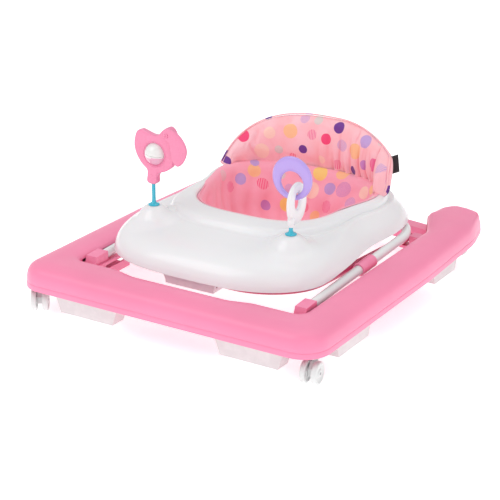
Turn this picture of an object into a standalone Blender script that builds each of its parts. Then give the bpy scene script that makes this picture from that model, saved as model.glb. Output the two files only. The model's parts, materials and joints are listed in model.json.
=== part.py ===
"""Baby walker: bumper base on casters, crossed tube frame, activity tray, fabric seat and two bar toys.

Metres, +Z up, +X to the right, the front bumper faces -Y. The origin is on the floor at the middle of the
walker's length and width. The frame is folded down, so the tray is at its lowest.
"""

from math import asin, cos, exp, hypot, pi, radians, sin, tan

import bmesh
import bpy
from mathutils import Matrix, Vector

# ---- driving dimensions -------------------------------------------------------------------------------
GAP = 0.0003                 # between touching pieces
WALL = 0.003                 # moulded shells

BASE_HALF_WIDTH = 0.330
BASE_HALF_LENGTH = 0.3825
WHEEL_RADIUS = 0.0215
BASE_BOTTOM = 2 * WHEEL_RADIUS + 0.011
BASE_TOP = BASE_BOTTOM + 0.047
BASE_EDGE = BASE_TOP - 0.0085            # height of the inner top edge
RAIL_WIDTH = 0.0805
LOBE_HALF_WIDTH = 0.055
LOBE_CENTRE_X = BASE_HALF_WIDTH - 0.0675

CROSSBAR_TOP = BASE_BOTTOM + 0.012
CROSSBAR_BOTTOM = BASE_BOTTOM - 0.018
CROSSBAR_DEPTH = 0.040
CROSSBAR_Y = BASE_HALF_LENGTH - 0.0905
CROSSBAR_BOW = 0.022
CROSSBAR_REACH = LOBE_CENTRE_X - LOBE_HALF_WIDTH + 0.011

CASTER_X = BASE_HALF_WIDTH - 0.026
CASTER_Y = BASE_HALF_LENGTH - 0.0425     # in front of the middle
CASTER_TRAIL = 0.010
CASTER_TURN = {"left": 33.0, "right": 7.0}
WHEEL_WIDTH = 0.0110
FORK_WIDTH = 0.0095
AXLE_RADIUS = 0.0020
STEM_RADIUS = 0.0042
RUN_CLEARANCE = 0.0005                   # round a turning shaft

REAR_WHEEL_Y = BASE_HALF_LENGTH - 0.0575
REAR_WHEEL_WIDTH = 0.0150
REAR_HOUSING_WIDTH = 0.0400
REAR_HOUSING_LENGTH = 0.0440

PAD_CLEARANCE = 0.0120                   # under a pad, to the floor
PAD_HEIGHT = BASE_BOTTOM - PAD_CLEARANCE
PAD_HALF_WIDTH = 0.0175
PAD_FLANGE = 0.0030
PAD_WALL = 0.0040

LINK_REACH = 2 * BASE_HALF_LENGTH - 0.290  # level reach of each frame arm when it is down
LINK_RISE = 0.0340
REAR_PIVOT_Y = BASE_HALF_LENGTH - 0.1697
REAR_PIVOT_Z = BASE_BOTTOM + 0.0160
FRONT_PIVOT_Y = REAR_PIVOT_Y - LINK_REACH
TRAY_PIVOT_Z = REAR_PIVOT_Z + LINK_RISE
LIFT_DEGREES = 30.0

OUTER_TUBE_RADIUS = 0.0095
OUTER_TUBE_X = BASE_HALF_WIDTH - RAIL_WIDTH - 0.016
OUTER_BEND = 0.085
OUTER_FRONT_Z = REAR_PIVOT_Z + 0.0163
INNER_TUBE_RADIUS = 0.0080
TUBE_WALL = 0.0012
INNER_TUBE_X = OUTER_TUBE_X - 0.0285
INNER_BEND = INNER_TUBE_X - 0.085
PIN_RADIUS = 0.0030
SLOT_CLEARANCE = 0.0012
COLLAR_WALL = 0.0030
COLLAR_LENGTH = 0.052
SOCKET_WALL = 0.0025

TRAY_HALF_WIDTH = OUTER_TUBE_X - 0.0005
TRAY_FRONT = 0.0278 - FRONT_PIVOT_Y
TRAY_REAR = REAR_PIVOT_Y + 0.0532
TRAY_CORNER_FULLNESS = 0.060             # share that the front corners are fuller than a plain oval
TRAY_WAIST = 0.040                       # share that the sides draw in
TRAY_SKIRT_FRONT = TRAY_PIVOT_Z + 0.004
TRAY_SKIRT_SIDE = TRAY_PIVOT_Z + 0.013
TRAY_TOP = TRAY_PIVOT_Z + 0.076
TRAY_FRAME_BOTTOM = TRAY_TOP - 0.036
TRAY_FRAME_TOP = TRAY_TOP - 0.031
OPENING_HALF_WIDTH = INNER_TUBE_X - 0.053
OPENING_REAR_HALF_WIDTH = INNER_TUBE_X - 0.025
OPENING_REAR = REAR_PIVOT_Y - 0.0028
OPENING_MIDDLE = OPENING_REAR - 0.155
OPENING_FRONT = 0.098
OPENING_LIP = 0.016

LATCH_HALF_WIDTH = 0.053
LATCH_WALL = 0.0035
TRUNNION = 0.0015
CLIP_X = OUTER_TUBE_X - OUTER_BEND - 0.0365
CLIP_THICKNESS = 0.007

SEAT_BACK_HALF_WIDTH = OPENING_REAR_HALF_WIDTH + 0.006
SEAT_BACK_DEPTH = 0.094
SEAT_BACK_Y = OPENING_REAR - 0.083
SEAT_BACK_SWEEP = 86.6                   # degrees from the middle to each wing's end
SEAT_BACK_THICKNESS = 0.020
SEAT_WING_THICKNESS = {"left": 0.026, "right": 0.038}
SEAT_BACK_HEIGHT = 0.106
SLING_THICKNESS = 0.003
SLING_DROP = 0.122                       # from the tray's top to the underside of the seat
LEG_X = 0.38 * OPENING_HALF_WIDTH
LEG_RADIUS = 0.30 * OPENING_HALF_WIDTH

TOY_X = TRAY_HALF_WIDTH - 0.0795
TOY_Y = 0.122 - TRAY_FRONT
TOY_STEM_RADIUS = 0.0036
TOY_FLANGE_RADIUS = 0.0110
TOY_SEAT_Z = TRAY_TOP + 0.0085
BOSS_TOP_RADIUS = 0.015
BOSS_BASE_RADIUS = 0.044
BOSS_HEIGHT = 0.034                      # of its solid core, from the tray's top down
LINK_OFFSET = 0.0195
LINK_STEM_TOP = TOY_SEAT_Z + 0.0265
LINK_Z = TOY_SEAT_Z + 0.0550
RING_RADIUS = 0.0417
RING_OFFSET = 0.0095
RING_Z = LINK_Z + 0.0465
RING_PIVOT_Z = LINK_Z + 0.0111
RATTLE_THICKNESS = 0.014
RATTLE_STEM_TOP = TOY_SEAT_Z + 0.0565
RATTLE_NECK_Z = TOY_SEAT_Z + 0.0475
WINDOW_RADIUS = 0.0240
WINDOW_OFFSET = 0.0080                   # of the window from the rattle's stem
WINDOW_Z = RATTLE_NECK_Z + 0.0575

SIDES = {"left": -1, "right": 1}

# ---- colours: (red, green, blue), roughness, metallic ---------------------------------------------------
FINISH = {
    "base_pink": ((0.98, 0.28, 0.46), 0.38, 0.0),
    "white_plastic": ((0.86, 0.86, 0.88), 0.25, 0.0),
    "grey_white_plastic": ((0.78, 0.74, 0.76), 0.45, 0.0),
    "tube_white": ((0.90, 0.91, 0.91), 0.22, 0.0),
    "tube_pink": ((0.62, 0.05, 0.16), 0.35, 0.0),
    "seat_fabric": ((1.0, 0.50, 0.58), 0.90, 0.0),
    "teal": ((0.04, 0.52, 0.68), 0.28, 0.0),
    "toy_pink": ((0.88, 0.28, 0.48), 0.30, 0.0),
    "lilac": ((0.53, 0.40, 0.86), 0.28, 0.0),
    "black_tape": ((0.012, 0.008, 0.010), 0.85, 0.0),
    "steel": ((0.62, 0.62, 0.64), 0.30, 1.0),
}


# ---- scene helpers --------------------------------------------------------------------------------------
def clear_scene():
    for item in list(bpy.data.objects):
        bpy.data.objects.remove(item, do_unlink=True)


def make_collection(name):
    group = bpy.data.collections.new(name)
    bpy.context.scene.collection.children.link(group)
    return group


clear_scene()
PARTS = make_collection("baby_walker")
CUTTERS = make_collection("cutters")


def finish(name):
    material = bpy.data.materials.get(name)
    if material is None:
        colour, roughness, metallic = FINISH[name]
        material = bpy.data.materials.new(name)
        material.use_nodes = True
        shader = material.node_tree.nodes["Principled BSDF"]
        shader.inputs["Base Color"].default_value = (*colour, 1.0)
        shader.inputs["Roughness"].default_value = roughness
        shader.inputs["Metallic"].default_value = metallic
        material.diffuse_color = (*colour, 1.0)
    return material


def pivot(name, place):
    """An empty on a joint's axis, which its moving pieces are parented to."""
    empty = bpy.data.objects.new(name, None)
    empty.location = place
    PARTS.objects.link(empty)
    return empty


def attach(piece, parent):
    """Parents a piece and keeps it where it is."""
    if parent is not None:
        piece.parent = parent
        piece.matrix_parent_inverse = Matrix.Translation(-parent.location)
    return piece


def solid(name, mesh, colour, parent=None, smooth=True):
    piece = bpy.data.objects.new(name, mesh)
    PARTS.objects.link(piece)
    piece.data.materials.append(finish(colour))
    if smooth:
        mesh.shade_smooth()
        mesh.set_sharp_from_angle(angle=radians(35))
    return attach(piece, parent)


def mesh_of(builder, name):
    mesh = bpy.data.meshes.new(name)
    builder.to_mesh(mesh)
    builder.free()
    return mesh


def loft_mesh(name, loops, cap_first=False, cap_last=False, closed=False):
    """Quads between successive loops of equal length. Each loop runs anticlockwise seen from outside."""
    builder = bmesh.new()
    rings = [[builder.verts.new(point) for point in loop] for loop in loops]
    count = len(rings[0])
    pairs = list(zip(rings, rings[1:]))
    if closed:
        pairs.append((rings[-1], rings[0]))
    for lower, upper in pairs:
        for index in range(count):
            after = (index + 1) % count
            builder.faces.new((lower[index], lower[after], upper[after], upper[index]))
    if cap_first:
        builder.faces.new(list(reversed(rings[0])))
    if cap_last:
        builder.faces.new(rings[-1])
    bmesh.ops.recalc_face_normals(builder, faces=builder.faces)
    return mesh_of(builder, name)


def box_mesh(name, low, high):
    builder = bmesh.new()
    size = [high[axis] - low[axis] for axis in range(3)]
    middle = [(high[axis] + low[axis]) / 2 for axis in range(3)]
    bmesh.ops.create_cube(builder, size=1.0, matrix=Matrix.Translation(middle) @ Matrix.Diagonal((*size, 1.0)))
    return mesh_of(builder, name)


def rod_mesh(name, start, end, radius, end_radius=None, segments=16):
    builder = bmesh.new()
    start = Vector(start)
    run = Vector(end) - start
    turn = run.to_track_quat("Z", "Y").to_matrix().to_4x4()
    place = Matrix.Translation(start + run / 2) @ turn
    last = radius if end_radius is None else end_radius
    bmesh.ops.create_cone(builder, cap_ends=True, segments=segments, radius1=radius, radius2=last,
                          depth=run.length, matrix=place)
    return mesh_of(builder, name)


def plate_mesh(name, outline, low, high, axis="X"):
    """A flat outline given as (across, up) points, made thick along one axis."""
    def place(point, depth):
        across, up = point
        return {"X": (depth, across, up), "Y": (across, depth, up), "Z": (across, up, depth)}[axis]
    return loft_mesh(name, [[place(p, low) for p in outline], [place(p, high) for p in outline]], True, True)


def cutter(name, mesh):
    tool = bpy.data.objects.new(name, mesh)
    CUTTERS.objects.link(tool)
    tool.hide_render = True
    tool.display_type = "WIRE"
    return tool


def combine(piece, mesh, operation="DIFFERENCE"):
    tool = cutter(f"{piece.name}_tool_{len(piece.modifiers)}", mesh)
    boolean = piece.modifiers.new(f"boolean_{len(piece.modifiers)}", "BOOLEAN")
    boolean.operation = operation
    boolean.solver = "EXACT"
    boolean.object = tool
    return piece


def thicken(piece, thickness):
    shell = piece.modifiers.new("wall", "SOLIDIFY")
    shell.thickness = thickness
    shell.offset = -1.0
    shell.use_even_offset = True
    return piece


def tube_mesh(name, points, radius, resolution=2, cyclic=False, hollow=False):
    """A round bar along the points, as one closed mesh, or a pipe's outer skin with open ends."""
    curve = bpy.data.curves.new(name, "CURVE")
    curve.dimensions = "3D"
    spline = curve.splines.new("POLY")
    spline.points.add(len(points) - 1)
    for index, point in enumerate(points):
        spline.points[index].co = (*point, 1.0)
    spline.use_cyclic_u = cyclic
    curve.bevel_depth = radius
    curve.bevel_resolution = resolution
    curve.use_fill_caps = not (cyclic or hollow)
    guide = bpy.data.objects.new(name, curve)
    bpy.context.scene.collection.objects.link(guide)
    mesh = bpy.data.meshes.new_from_object(guide.evaluated_get(bpy.context.evaluated_depsgraph_get()))
    bpy.data.objects.remove(guide, do_unlink=True)
    bpy.data.curves.remove(curve)
    builder = bmesh.new()
    builder.from_mesh(mesh)
    bpy.data.meshes.remove(mesh)
    bmesh.ops.remove_doubles(builder, verts=builder.verts, dist=0.00001)
    bmesh.ops.recalc_face_normals(builder, faces=builder.faces)
    return mesh_of(builder, name)


# ---- outlines -------------------------------------------------------------------------------------------
def rounded(corners):
    """A path through corners (x, y, radius, steps, side), each corner a round; side is kept for each point."""
    path = []
    for index, (x, y, radius, steps, side) in enumerate(corners):
        if radius == 0:
            path.append((x, y, side))
            continue
        here = Vector((x, y))
        before = (Vector(corners[index - 1][:2]) - here).normalized()
        after = (Vector(corners[index + 1][:2]) - here).normalized()
        half = before.angle(after) / 2
        centre = here + (before + after).normalized() * (radius / sin(half))
        start = here + before * (radius / tan(half)) - centre
        sweep = (pi - 2 * half) * (1 if before.cross(after) < 0 else -1)
        for step in range(steps + 1):
            turned = Matrix.Rotation(sweep * step / steps, 2) @ start
            path.append((centre.x + turned.x, centre.y + turned.y, side))
    return path


def inward_normals(points):
    """For an anticlockwise outline, the unit direction into it at each point."""
    normals = []
    for index, point in enumerate(points):
        before = Vector(points[index - 1][:2])
        after = Vector(points[(index + 1) % len(points)][:2])
        run = (after - before).normalized()
        normals.append(Vector((-run.y, run.x)))
    return normals


def superellipse(angle, half_width, half_length, power):
    reach = (abs(cos(angle)) ** power + abs(sin(angle)) ** power) ** (-1 / power)
    return half_width * reach * cos(angle), half_length * reach * sin(angle)


def smoothstep(value, low, high):
    share = min(1.0, max(0.0, (value - low) / (high - low)))
    return share * share * (3 - 2 * share)


# ---- base -----------------------------------------------------------------------------------------------
def base_outline():
    """The U of the base, anticlockwise: round the outside, round each rear lobe, back along the inside."""
    inner_x = BASE_HALF_WIDTH - RAIL_WIDTH
    inner_front = -BASE_HALF_LENGTH + RAIL_WIDTH
    lobe_out = LOBE_CENTRE_X + LOBE_HALF_WIDTH
    lobe_in = LOBE_CENTRE_X - LOBE_HALF_WIDTH
    right = rounded([
        (0.0, -BASE_HALF_LENGTH, 0, 0, 1.0),
        (BASE_HALF_WIDTH, -BASE_HALF_LENGTH, 0.060, 6, 1.0),
        (BASE_HALF_WIDTH, 0.144 * BASE_HALF_LENGTH, 0.60, 2, 1.0),
        (lobe_out + 0.003, BASE_HALF_LENGTH - 0.0975, 0.25, 2, 1.0),
        (lobe_out - 0.022, BASE_HALF_LENGTH, 0.040, 4, 0.75),
        (lobe_in + 0.006, BASE_HALF_LENGTH, 0.044, 4, 0.3),
        (lobe_in - 0.001, BASE_HALF_LENGTH - 0.0825, 0.055, 3, 0.0),
        (inner_x, BASE_HALF_LENGTH - 0.1775, 0.080, 3, 0.0),
        (inner_x, inner_front + 0.012, 0.016, 3, 0.0),
        (0.455 * BASE_HALF_WIDTH, inner_front + 0.012, 0.070, 2, 0.0),
        (0.318 * BASE_HALF_WIDTH, inner_front, 0.070, 2, 0.0),
        (0.0, inner_front, 0, 0, 0.0),
    ])
    left = [(-x, y, side) for x, y, side in reversed(right[1:-1])]
    return right + left


def base_level(outline, normals, outer, inner):
    """One loop of the base: (inset, height) for its outer side and its inner side, blended round the lobes."""
    loop = []
    for (x, y, side), normal in zip(outline, normals):
        inset = inner[0] + (outer[0] - inner[0]) * side
        loop.append((x + normal.x * inset, y + normal.y * inset, inner[1] + (outer[1] - inner[1]) * side))
    return loop


def base_shell():
    outline = base_outline()
    normals = inward_normals(outline)
    under = BASE_TOP - WALL
    levels = [
        ((0.0380, under), (0.0220, under)),
        ((0.0300, under - 0.0022), (0.0120, under - 0.0020)),
        ((0.0125, under - 0.0130), (WALL, BASE_EDGE - 0.0060)),
        ((WALL, BASE_BOTTOM), (WALL, BASE_BOTTOM)),
        ((0.0, BASE_BOTTOM), (0.0, BASE_BOTTOM)),
        ((0.0025, BASE_TOP - 0.0290), (0.0, BASE_TOP - 0.0260)),
        ((0.0095, BASE_TOP - 0.0150), (0.0005, BASE_EDGE - 0.0040)),
        ((0.0200, BASE_TOP - 0.0065), (0.0030, BASE_EDGE + 0.0020)),
        ((0.0290, BASE_TOP - 0.0022), (0.0100, BASE_EDGE + 0.0060)),
        ((0.0380, BASE_TOP), (0.0220, BASE_TOP)),
    ]
    loops = [base_level(outline, normals, outer, inner) for outer, inner in levels]
    shell = solid("base_shell", loft_mesh("base_shell", loops, cap_first=True, cap_last=True), "base_pink")
    room = crossbar_loops(GAP)
    combine(shell, loft_mesh("crossbar_room", [room[0], room[1]], True, True))
    return shell


def crossbar_loops(extra):
    """Bottom and top outlines of the low bar across the rear, bowed backwards."""
    reach = CROSSBAR_REACH
    steps = 12
    xs = [reach * (2 * step / steps - 1) for step in range(steps + 1)]

    def edge(offset, order):
        return [(x, CROSSBAR_Y + CROSSBAR_BOW * (1 - (x / reach) ** 2) + offset) for x in order]

    half = CROSSBAR_DEPTH / 2 + extra
    outline = edge(-half, xs) + edge(half, list(reversed(xs)))
    low = CROSSBAR_BOTTOM - extra
    high = CROSSBAR_TOP + extra
    return [[(x, y, low) for x, y in outline], [(x, y, high) for x, y in outline]]


def rear_crossbar():
    bottom, top = crossbar_loops(0.0)
    middle = [(x, y, CROSSBAR_TOP - 0.010) for x, y, _ in bottom]
    crown = []
    for (x, y, z) in top:
        centre = CROSSBAR_Y + CROSSBAR_BOW * (1 - (x / CROSSBAR_REACH) ** 2)
        crown.append((x, centre + (y - centre) * 0.72, z))
    bar = solid("rear_crossbar", loft_mesh("rear_crossbar", [bottom, middle, crown], cap_last=True), "base_pink")
    return thicken(bar, WALL)


def stop_pad(name, x, y, length, along, room):
    """A white stop block: a flange held between the base's walls, and a tapered foot under it."""
    half_room = room / 2 - WALL - 0.0020
    top = PAD_CLEARANCE + PAD_HEIGHT
    foot = [(-length / 2, top), (-length / 2 + 0.014, PAD_CLEARANCE), (length / 2 - 0.014, PAD_CLEARANCE),
            (length / 2, top)]
    across = PAD_HALF_WIDTH
    if along == "X":
        mesh = plate_mesh(name, [(x + a, z) for a, z in foot], y - across, y + across, "Y")
        flange = box_mesh(name, (x - length / 2, y - half_room, top - PAD_FLANGE),
                          (x + length / 2, y + half_room, top + PAD_FLANGE))
    else:
        mesh = plate_mesh(name, [(y + a, z) for a, z in foot], x - across, x + across, "X")
        flange = box_mesh(name, (x - half_room, y - length / 2, top - PAD_FLANGE),
                          (x + half_room, y + length / 2, top + PAD_FLANGE))
    pad = solid(name, mesh, "grey_white_plastic", smooth=False)
    combine(pad, flange, "UNION")
    inside = across - PAD_WALL
    reach = length / 2 - 0.018
    halves = (reach, inside) if along == "X" else (inside, reach)
    combine(pad, box_mesh("inside", (x - halves[0], y - halves[1], PAD_CLEARANCE + PAD_WALL),
                          (x + halves[0], y + halves[1], top + 0.010)))
    return pad


def stop_pads():
    front_y = -BASE_HALF_LENGTH + RAIL_WIDTH / 2 + 0.0015
    side_x = BASE_HALF_WIDTH - RAIL_WIDTH / 2
    for side, sign in SIDES.items():
        stop_pad(f"front_stop_pad_{side}", sign * (BASE_HALF_WIDTH - 0.150), front_y, 0.150, "X", RAIL_WIDTH - 0.004)
        stop_pad(f"side_stop_pad_{side}", sign * side_x, 0.1825 - BASE_HALF_LENGTH, 0.140, "Y", RAIL_WIDTH)
        stop_pad(f"rear_stop_pad_{side}", sign * (side_x - 0.005), BASE_HALF_LENGTH - 0.1925, 0.120, "Y",
                 RAIL_WIDTH - 0.016)


# ---- casters and wheels ---------------------------------------------------------------------------------
def wheel_mesh(name, centre, axis, radius, width, bore):
    """A wheel turned from its half section, with a raised hub and a rounded tread."""
    half = width / 2
    profile = [(bore, half), (radius * 0.32, half * 0.72), (radius * 0.72, half * 0.72), (radius * 0.82, half),
               (radius, half * 0.55), (radius, -half * 0.55), (radius * 0.82, -half),
               (radius * 0.72, -half * 0.72), (radius * 0.32, -half * 0.72), (bore, -half)]
    turn = Vector(axis).to_track_quat("Z", "Y").to_matrix()
    loops = []
    count = 14
    for distance, along in profile:
        loop = []
        for step in range(count):
            a = 2 * pi * step / count
            loop.append(Vector(centre) + turn @ Vector((distance * cos(a), distance * sin(a), along)))
        loops.append(loop)
    return loft_mesh(name, loops, closed=True)


def front_caster(side, sign):
    stem_x = sign * CASTER_X
    stem_y = -CASTER_Y
    turn = radians(CASTER_TURN[side])
    axle = Vector((cos(turn), sin(turn), 0.0))
    back = Vector((sin(turn), -cos(turn), 0.0)) * CASTER_TRAIL
    swivel = pivot(f"caster_swivel_{side}", (stem_x, stem_y, 0.0))
    hub = Vector((stem_x, stem_y, WHEEL_RADIUS)) + back

    shoulder = BASE_BOTTOM - 0.004
    top = BASE_BOTTOM + 0.0225
    socket = solid(f"caster_socket_{side}",
                   rod_mesh("socket", (stem_x, stem_y, shoulder + 0.0010), (stem_x, stem_y, top), 0.0085),
                   "base_pink")
    combine(socket, rod_mesh("bore", (stem_x, stem_y, shoulder), (stem_x, stem_y, top - 0.003),
                             STEM_RADIUS + RUN_CLEARANCE))

    fork = solid(f"caster_fork_{side}",
                 rod_mesh("fork", (stem_x, stem_y, WHEEL_RADIUS + 0.006), (stem_x, stem_y, shoulder),
                          FORK_WIDTH / 2 - 0.0002), "white_plastic", swivel)
    combine(fork, rod_mesh("cap", (stem_x, stem_y, shoulder - 0.0050), (stem_x, stem_y, shoulder), 0.0100),
            "UNION")
    combine(fork, rod_mesh("stem", (stem_x, stem_y, shoulder - 0.003), (stem_x, stem_y, top - 0.004), STEM_RADIUS),
            "UNION")
    web = [(-0.0070, -0.0060), (CASTER_TRAIL + 0.0060, -0.0060), (CASTER_TRAIL + 0.0060, 0.0070),
           (0.0070, 0.0180), (-0.0070, 0.0180)]
    start = Vector((stem_x, stem_y, WHEEL_RADIUS)) - axle * (FORK_WIDTH / 2)
    step = back.normalized()
    loops = []
    for depth in (0.0, FORK_WIDTH):
        loops.append([start + axle * depth + step * along + Vector((0, 0, up)) for along, up in web])
    combine(fork, loft_mesh("web", loops, True, True), "UNION")
    combine(fork, rod_mesh("axle_bore", hub - axle * 0.02, hub + axle * 0.02, AXLE_RADIUS + GAP))

    roll = pivot(f"caster_roll_{side}", hub)
    roll.parent = swivel
    roll.matrix_parent_inverse = Matrix.Translation(-swivel.location)
    roll.location = hub
    centre_offset = FORK_WIDTH / 2 + 0.0008 + WHEEL_WIDTH / 2
    half_axle = centre_offset + WHEEL_WIDTH / 2 + 0.0010
    pin = solid(f"caster_axle_{side}",
                rod_mesh("axle", hub - axle * half_axle, hub + axle * half_axle, AXLE_RADIUS, segments=12), "steel")
    attach_to_roll(pin, roll, hub)
    for label, way in (("inner", -sign), ("outer", sign)):
        wheel = solid(f"caster_wheel_{label}_{side}",
                      wheel_mesh("wheel", hub + axle * way * centre_offset, axle, WHEEL_RADIUS, WHEEL_WIDTH,
                                 AXLE_RADIUS + GAP), "white_plastic")
        attach_to_roll(wheel, roll, hub)


def attach_to_roll(piece, roll, place):
    piece.parent = roll
    piece.matrix_parent_inverse = Matrix.Translation(-Vector(place))


def rear_wheel(side, sign):
    x = sign * LOBE_CENTRE_X
    y = REAR_WHEEL_Y
    half = REAR_HOUSING_WIDTH / 2
    slot = REAR_WHEEL_WIDTH / 2 + 0.0010
    top = BASE_BOTTOM + 0.006
    knee = BASE_BOTTOM - 0.020
    profile = [(-REAR_HOUSING_LENGTH / 2, top), (-REAR_HOUSING_LENGTH / 2, knee), (-0.010, PAD_CLEARANCE),
               (0.010, PAD_CLEARANCE), (REAR_HOUSING_LENGTH / 2, knee), (REAR_HOUSING_LENGTH / 2, top)]
    housing = solid(f"rear_wheel_housing_{side}",
                    plate_mesh("housing", [(y + a, z) for a, z in profile], x - half, x + half),
                    "grey_white_plastic", smooth=False)
    combine(housing, rod_mesh("plate", (x, y, top - 0.003), (x, y, top), LOBE_HALF_WIDTH - WALL - 0.012, segments=24),
            "UNION")
    combine(housing, box_mesh("slot", (x - slot, y - 0.040, 0.0), (x + slot, y + 0.040, 2 * WHEEL_RADIUS + 0.004)))
    combine(housing, rod_mesh("bore", (x - half - 0.01, y, WHEEL_RADIUS), (x + half + 0.01, y, WHEEL_RADIUS),
                              AXLE_RADIUS + GAP))
    solid(f"rear_axle_{side}",
          rod_mesh("axle", (x - half - 0.001, y, WHEEL_RADIUS), (x + half + 0.001, y, WHEEL_RADIUS), AXLE_RADIUS,
                   segments=12), "steel")
    roll = pivot(f"rear_roll_{side}", (x, y, WHEEL_RADIUS))
    wheel = wheel_mesh("wheel", (x, y, WHEEL_RADIUS), (1, 0, 0), WHEEL_RADIUS, REAR_WHEEL_WIDTH, AXLE_RADIUS + GAP)
    solid(f"rear_wheel_{side}", wheel, "white_plastic", roll)


# ---- crossed tube frame ---------------------------------------------------------------------------------
ARM = hypot(LINK_REACH, LINK_RISE)
REST_ANGLE = asin(LINK_RISE / ARM)
CROSS_Y = REAR_PIVOT_Y - LINK_REACH / 2
CROSS_Z = REAR_PIVOT_Z + LINK_RISE / 2
SLIDE_TRAVEL = ARM * (cos(REST_ANGLE) - cos(REST_ANGLE + radians(LIFT_DEGREES)))
OUTER_SLOPE = (TRAY_PIVOT_Z - OUTER_FRONT_Z) / LINK_REACH


def bent_frame(x, bend, start_y, crossbar_y, height_of):
    """A U of tube: two side runs at +-x joined by a crossbar, with round bends."""
    way = 1 if crossbar_y > start_y else -1
    side = [(x, start_y), (x, crossbar_y - way * bend)]
    for step in range(1, 7):
        a = pi / 2 * step / 6
        side.append((x - bend * (1 - cos(a)), crossbar_y - way * bend * (1 - sin(a))))
    plan = side + [(-px, py) for px, py in reversed(side)]
    return [(px, py, height_of(py)) for px, py in plan]


def outer_height(y):
    return OUTER_FRONT_Z + OUTER_SLOPE * (y - FRONT_PIVOT_Y)


def inner_height(y):
    return REAR_PIVOT_Z + LINK_RISE * (REAR_PIVOT_Y - y) / LINK_REACH


def outer_frame(lift):
    start = FRONT_PIVOT_Y - 0.002
    points = bent_frame(OUTER_TUBE_X, OUTER_BEND, start, REAR_PIVOT_Y, outer_height)
    tube = solid("outer_tube", tube_mesh("outer_tube", points, OUTER_TUBE_RADIUS, hollow=True), "tube_white", lift)
    thicken(tube, TUBE_WALL)
    for side, sign in SIDES.items():
        x = sign * OUTER_TUBE_X
        half = OUTER_TUBE_RADIUS + GAP + SOCKET_WALL
        drop = REAR_PIVOT_Z
        outline = [(-0.011, -0.008), (-0.011, 0.008), (-0.004, 0.0270), (0.032, 0.0290), (0.032, 0.003),
                   (0.011, -0.009)]
        plug = solid(f"tube_socket_{side}",
                     plate_mesh("plug", [(FRONT_PIVOT_Y + a, drop + u) for a, u in outline], x - half, x + half),
                     "base_pink", lift)
        near = (x, start - 0.0005, outer_height(start - 0.0005))
        far = (x, start + 0.06, outer_height(start + 0.06))
        combine(plug, rod_mesh("tube_bore", near, far, OUTER_TUBE_RADIUS + GAP))
        combine(plug, rod_mesh("pin_bore", (x - 0.02, FRONT_PIVOT_Y, drop), (x + 0.02, FRONT_PIVOT_Y, drop),
                               PIN_RADIUS + GAP))
        solid(f"front_slide_pin_{side}",
              rod_mesh("pin", (x - sign * (half + 0.0045), FRONT_PIVOT_Y, drop),
                       (x + sign * (half + 0.0003), FRONT_PIVOT_Y, drop), PIN_RADIUS, segments=12), "steel", lift)
        first = CROSS_Y - COLLAR_LENGTH / 2
        last = CROSS_Y + COLLAR_LENGTH / 2
        shell = OUTER_TUBE_RADIUS + GAP + COLLAR_WALL
        collar = solid(f"cross_collar_{side}",
                       rod_mesh("collar", (x, first, outer_height(first)), (x, last, outer_height(last)), shell,
                                segments=20), "base_pink", lift)
        inner_face = sign * (INNER_TUBE_X + INNER_TUBE_RADIUS + 0.0005)
        combine(collar, rod_mesh("lug", (inner_face, CROSS_Y, CROSS_Z), (x, CROSS_Y, CROSS_Z), 0.0080, segments=20),
                "UNION")
        combine(collar, rod_mesh("tube_bore", (x, first - 0.01, outer_height(first - 0.01)),
                                 (x, last + 0.01, outer_height(last + 0.01)), OUTER_TUBE_RADIUS + GAP))
        combine(collar, rod_mesh("rivet_bore", (inner_face - sign * 0.002, CROSS_Y, CROSS_Z),
                                 (inner_face + sign * 0.0070, CROSS_Y, CROSS_Z), PIN_RADIUS + GAP))


def inner_frame(lift):
    points = bent_frame(INNER_TUBE_X, INNER_BEND, REAR_PIVOT_Y + 0.010, FRONT_PIVOT_Y, inner_height)
    tube = solid("inner_tube", tube_mesh("inner_tube", points, INNER_TUBE_RADIUS, hollow=True), "tube_pink", lift)
    thicken(tube, TUBE_WALL)
    for side, sign in SIDES.items():
        x = sign * INNER_TUBE_X
        for place_y, place_z, label in ((CROSS_Y, CROSS_Z, "cross"), (REAR_PIVOT_Y, REAR_PIVOT_Z, "rear")):
            combine(tube, rod_mesh(f"{label}_bore", (x - 0.015, place_y, place_z),
                                   (x + 0.015, place_y, place_z), PIN_RADIUS + GAP))
        head = sign * (INNER_TUBE_X - INNER_TUBE_RADIUS - 0.0004)
        rivet = solid(f"cross_rivet_{side}",
                      rod_mesh("rivet", (head - sign * 0.001, CROSS_Y, CROSS_Z),
                               (head + sign * (2 * INNER_TUBE_RADIUS + 0.0060), CROSS_Y, CROSS_Z), PIN_RADIUS,
                               segments=12), "steel", lift)
        combine(rivet, rod_mesh("head", (head - sign * 0.0030, CROSS_Y, CROSS_Z), (head, CROSS_Y, CROSS_Z), 0.0060),
                "UNION")


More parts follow.
